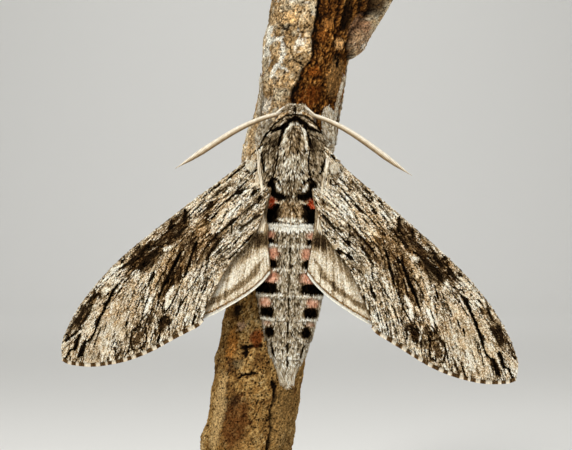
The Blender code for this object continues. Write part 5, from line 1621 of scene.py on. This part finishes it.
def bark_surface(turn, height):
    """How far the fine surface of the branch stands off its plain form, and its colour."""
    arc = turn * PERCH_RADIUS
    reach = perch_radius(turn, height)
    x, y = np.sin(turn) * reach, np.cos(turn) * reach
    seen = x + 0.3 * noise(x * 0.9, y * 0.9, height * 0.9, seed=81)
    front = smooth((np.cos(turn) + 0.25) / 0.15)
    edges, levels = zip(*WOOD_EDGE)
    edge = np.interp(height, levels, edges)
    bare = smooth((seen - edge) / 0.35 + 0.5) * smooth((height - 56 + seen) / 4) * front
    bare = bare * (1 - smooth((arc - 13.5) / 2.5))
    shadow = bare * hump(seen - edge, 0.35, 0.4)
    edges, levels = zip(*FLAP_EDGE)
    flap = seen - np.interp(height, levels, edges)
    # Painted shade on the bare wood under the raised flap's edge.
    flap_shade = bare * hump(flap, -0.35, 0.4)
    bare = bare * (1 - smooth(flap / 0.3 + 0.5))
    _, coarse_gap, coarse_number = cells(x * 0.42, y * 0.42, height * 0.33, seed=82)
    fine, fine_gap, fine_number = cells(x * 1.5, y * 1.5, height * 1.5, seed=83)
    cloud = fractal(x * 0.35, y * 0.35, height * 0.35, octaves=4, seed=84)
    grit = fractal(x * 2.2, y * 2.2, height * 2.2, octaves=3, seed=85)
    cracks = smooth(1 - coarse_gap / 0.07) * smooth((coarse_number - 0.35) / 0.2)
    pits = smooth((0.42 - fine) / 0.18) * (fine_number > 0.35)
    bark_off = 0.22 * cloud + 0.10 * grit + 0.10 * fine_gap - 0.30 * cracks - 0.20 * pits
    bark_tone = 0.58 + 0.24 * cloud + 0.16 * grit + 0.28 * (fine_number - 0.5) - 0.30 * cracks - 0.55 * pits
    greyness = smooth(0.25 + 1.2 * fractal(x * 0.7 + 3, y * 0.7, height * 0.7, octaves=2, seed=93))
    fibre = fractal(arc * 2.4, height * 0.32, octaves=3, seed=86)
    fleck = fractal(arc * 2.2, height * 1.6, octaves=2, seed=87)
    crumb = noise(arc * 4.6, height * 4.0, seed=94)
    wood_off = -0.75 + 0.20 * fibre + 0.10 * fleck + 0.06 * crumb
    wood_tone = 0.36 + 0.14 * fibre + 0.26 * fleck + 0.34 * crumb - 0.4 * shadow
    lower = smooth((64 - height) / 8)
    harsh = 1 - 0.6 * smooth((50 - height) / 15)
    sand = np.exp(harsh * 0.7 * noise(x * 3.4, y * 3.4, height * 3.4, seed=90))[..., None]
    for path, width in BARK_CRACKS:
        d, _ = distance_to_path(seen, height + 0.2 * grit, path)
        gap = smooth(1.6 - d / width) * front
        bark_off = bark_off - 0.55 * gap
        bark_tone = bark_tone - 0.75 * gap
    off = mix(bark_off, wood_off, bare) + 0.3 * smooth(flap / 0.3 + 0.5)
    bark = mix(ramp(BARK_COLOURS, bark_tone), ramp(GREY_COLOURS, bark_tone), greyness[..., None])
    bark = mix(bark, ramp(LOWER_COLOURS, bark_tone), lower[..., None])
    colour = mix(bark, ramp(WOOD_COLOURS, wood_tone), bare[..., None]) * sand
    for middle, size, tint, strength in BRANCH_PATCHES:
        away = np.hypot((seen + 0.3 * grit - middle[0]) / size[0],
                        (height + 0.4 * grit - middle[1]) / size[1])
        cover = strength * front * smooth((1.35 - away) / 0.6)
        colour = mix(colour, linear(tint) * sand, cover[..., None])
    crust = LICHEN * np.exp(0.35 * grit)[..., None]
    for path, width in LICHEN_LINES:
        d, _ = distance_to_path(seen + 0.3 * grit, height + 0.3 * cloud, path)
        colour = mix(colour, crust, (0.85 * front * smooth(1.4 - d / width))[..., None])
    colour = colour * (1 - 0.85 * flap_shade[..., None])
    moss = fractal(x * 0.5 + 4, y * 0.5, height * 0.4, octaves=3, seed=88) - 0.1
    web = np.abs(noise(x * 0.8, y * 0.8, height * 0.8, seed=89))
    lichen = smooth((moss - 0.16) / 0.3) * smooth((0.34 - web) / 0.2) * (1 - bare)
    lichen = lichen * smooth((height - 60) / 12)
    return off + 0.06 * lichen, mix(colour, crust, 0.5 * lichen[..., None])


def sawn_end(rim):
    """Rings of points from the rim of a cut end to its middle, with their colours."""
    middle = rim.mean(axis=0)
    inward = np.concatenate([[0.985], np.linspace(0.95, 0.02, 22)])[:, None, None]
    rings = middle + (rim - middle)[None] * inward
    reach = np.linalg.norm(rings - middle, axis=-1)
    wobble = reach + 0.3 * noise(rings[..., 0] * 0.3, rings[..., 1] * 0.3, seed=91)
    tone = 0.55 + 0.3 * np.sin(wobble * 7.5) + 0.15 * noise(rings[..., 0] * 5, rings[..., 1] * 5, seed=92)
    return rings, ramp(SAWN_COLOURS, np.where(inward[..., 0] > 0.93, 0.1, tone))


def make_perch():
    rows, columns = 400, 220
    even = around(columns)
    levels = np.linspace(PERCH_BOTTOM, PERCH_TOP, rows)
    height, turn = np.meshgrid(levels, even - FRONT_CROWDING * np.sin(even), indexing="ij")
    off, colour = bark_surface(turn, height)
    rings = perch_place(turn, height, off)
    bottom, bottom_colour = sawn_end(rings[0])
    top, top_colour = sawn_end(rings[-1])
    rings = np.concatenate([bottom[::-1], rings, top])
    colour = np.concatenate([bottom_colour[::-1], colour, top_colour])
    add_piece("perch_bark", ring_mesh(rings, colour), "bark", "bark", "perch", place=None)


# Stand

BASE_RADIUS = 33.0
BASE_TOP = 5.7
BASE_BEVEL = 1.0
# The innermost points of the base's flat faces lie this far from its middle.
BASE_CENTRE = 6.0
# The groove in the base's top: how far in from the rim, and how deep.
BASE_GROOVE = [(3.0, 0.0), (3.3, 0.35), (3.9, 0.35), (4.2, 0.0)]
ROD_RADIUS = 1.6
ROD_BEVEL = 0.2
# The rod ends this far from the base and from the branch.
GAP = 0.3
SHARP_EDGE = math.radians(38)


def lathe(name, profile, middle, columns, *looks):
    """A turned piece from (radius, height) pairs about an upright line, with its material, slot and node. The
    slot is not used.
    """
    turn = np.linspace(0, 2 * math.pi, columns, endpoint=False)
    c, s = np.cos(turn), np.sin(turn)
    rings = [np.stack([middle[0] + r * c, middle[1] + r * s, z + 0 * turn], axis=-1) for r, z in profile]
    piece = add_piece(name, ring_mesh(np.array(rings)), *looks, place=None)
    piece.data.set_sharp_from_angle(angle=SHARP_EDGE)


def make_stand():
    corner = np.linspace(0, math.pi / 2, 7)
    lower = [(BASE_RADIUS - BASE_BEVEL * (1 - math.sin(a)), BASE_BEVEL * (1 - math.cos(a))) for a in corner]
    upper = [(BASE_RADIUS - BASE_BEVEL * (1 - math.cos(a)), BASE_TOP - BASE_BEVEL * (1 - math.sin(a)))
             for a in corner]
    groove = [(BASE_RADIUS - inward, BASE_TOP - depth) for inward, depth in BASE_GROOVE]
    base = [(BASE_CENTRE, 0.0), *lower, *upper, *groove, (BASE_CENTRE, BASE_TOP)]
    lathe("stand_base_turned", base, (0, 0), 160, "base_wood", "stand_wood", "stand_base")
    foot, head = BASE_TOP + GAP, PERCH_BOTTOM - GAP
    rod = [(ROD_RADIUS - ROD_BEVEL, foot), (ROD_RADIUS, foot + ROD_BEVEL),
           (ROD_RADIUS, head - ROD_BEVEL), (ROD_RADIUS - ROD_BEVEL, head)]
    middle = (perch_x(PERCH_BOTTOM), PERCH_Y)
    lathe("stand_rod_turned", rod, middle, 48, "rod_metal", "stand_metal", "stand_rod")


# Camera, stage and light

# The stage reaches this far each way, has a low rim and lies a little under the base.
STAGE_REACH = 6000.0
STAGE_RIM = 900.0
STAGE_DROP = 0.02
COVE_START = 800.0
COVE_RADIUS = 300.0
COVE_STEPS = 16
LIGHT_TARGET = (0, -8, 58)


def look(obj, target):
    """Turns an object to a target in metres."""
    direction = Vector(target) - obj.location
    obj.rotation_euler = direction.to_track_quat("-Z", "Y").to_euler()


def add_camera():
    data = bpy.data.cameras.new("camera")
    data.lens = LENS
    data.sensor_width = FRAME_WIDTH * PIXEL * LENS / VIEW_DISTANCE
    data.clip_start = 0.01
    camera = bpy.data.objects.new("camera", data)
    bpy.context.scene.collection.objects.link(camera)
    camera.location = (0, (BODY_PLACE[1] - VIEW_DISTANCE) * MM, BODY_PLACE[2] * MM)
    camera.rotation_euler = (math.pi / 2, 0, 0)
    bpy.context.scene.camera = camera


def add_light(name, place, target, size, power, colour=(1, 1, 1)):
    data = bpy.data.lights.new(name, "AREA")
    data.shape = "DISK"
    data.size = size * MM
    data.energy = power
    data.color = colour
    light = bpy.data.objects.new(name, data)
    bpy.context.scene.collection.objects.link(light)
    light.location = [c * MM for c in place]
    look(light, [c * MM for c in target])


def add_stage():
    """A pale floor with a far rim, which curves up into a backdrop that a camera can stand before."""
    rim = [(-STAGE_REACH, STAGE_RIM), (-STAGE_REACH, 0.0), (1 - STAGE_REACH, 0.0)]
    columns = rim + [(-x, rise) for x, rise in reversed(rim)]
    profile = rim + [(COVE_START, 0.0)]
    for k in range(1, COVE_STEPS + 1):
        a = math.pi / 2 * k / COVE_STEPS
        profile.append((COVE_START + COVE_RADIUS * math.sin(a), COVE_RADIUS * (1 - math.cos(a))))
    profile.append((COVE_START + COVE_RADIUS, STAGE_REACH))
    points = np.array([(x, y, z + rise - STAGE_DROP) for y, z in profile for x, rise in columns])
    material, _, shader = new_material("pale_stage", 0.9, 0.2)
    shader.inputs["Base Color"].default_value = (0.78, 0.78, 0.76, 1)
    faces = grid_triangles(len(profile), len(columns))
    mesh_object("stage_floor", points, faces, material, place=None)


def add_world():
    world = bpy.data.worlds.new("studio")
    world.use_nodes = True
    back = world.node_tree.nodes["Background"]
    back.inputs["Color"].default_value = (1.0, 0.98, 0.95, 1)
    back.inputs["Strength"].default_value = 0.38
    bpy.context.scene.world = world


for side_word, side_sign in SIDES.items():
    make_wing("forewing", side_word, side_sign)
    make_wing("hindwing", side_word, side_sign)
    for leg_kind in LEGS:
        make_leg(leg_kind, side_word, side_sign)
make_body()
make_head_pieces()
make_antennae()
make_perch()
make_stand()
add_camera()
add_stage()
add_world()
add_light("key", (-130, -340, 340), LIGHT_TARGET, 130, 1.6, (1.0, 0.98, 0.94))
add_light("fill", (300, -300, 130), LIGHT_TARGET, 260, 0.35, (0.95, 0.98, 1.0))
add_light("top", (40, 40, 420), LIGHT_TARGET, 240, 0.7)
add_light("backdrop", (0, 620, 560), (0, 1100, 140), 420, 1.3)
bpy.context.scene.view_settings.view_transform = "Standard"
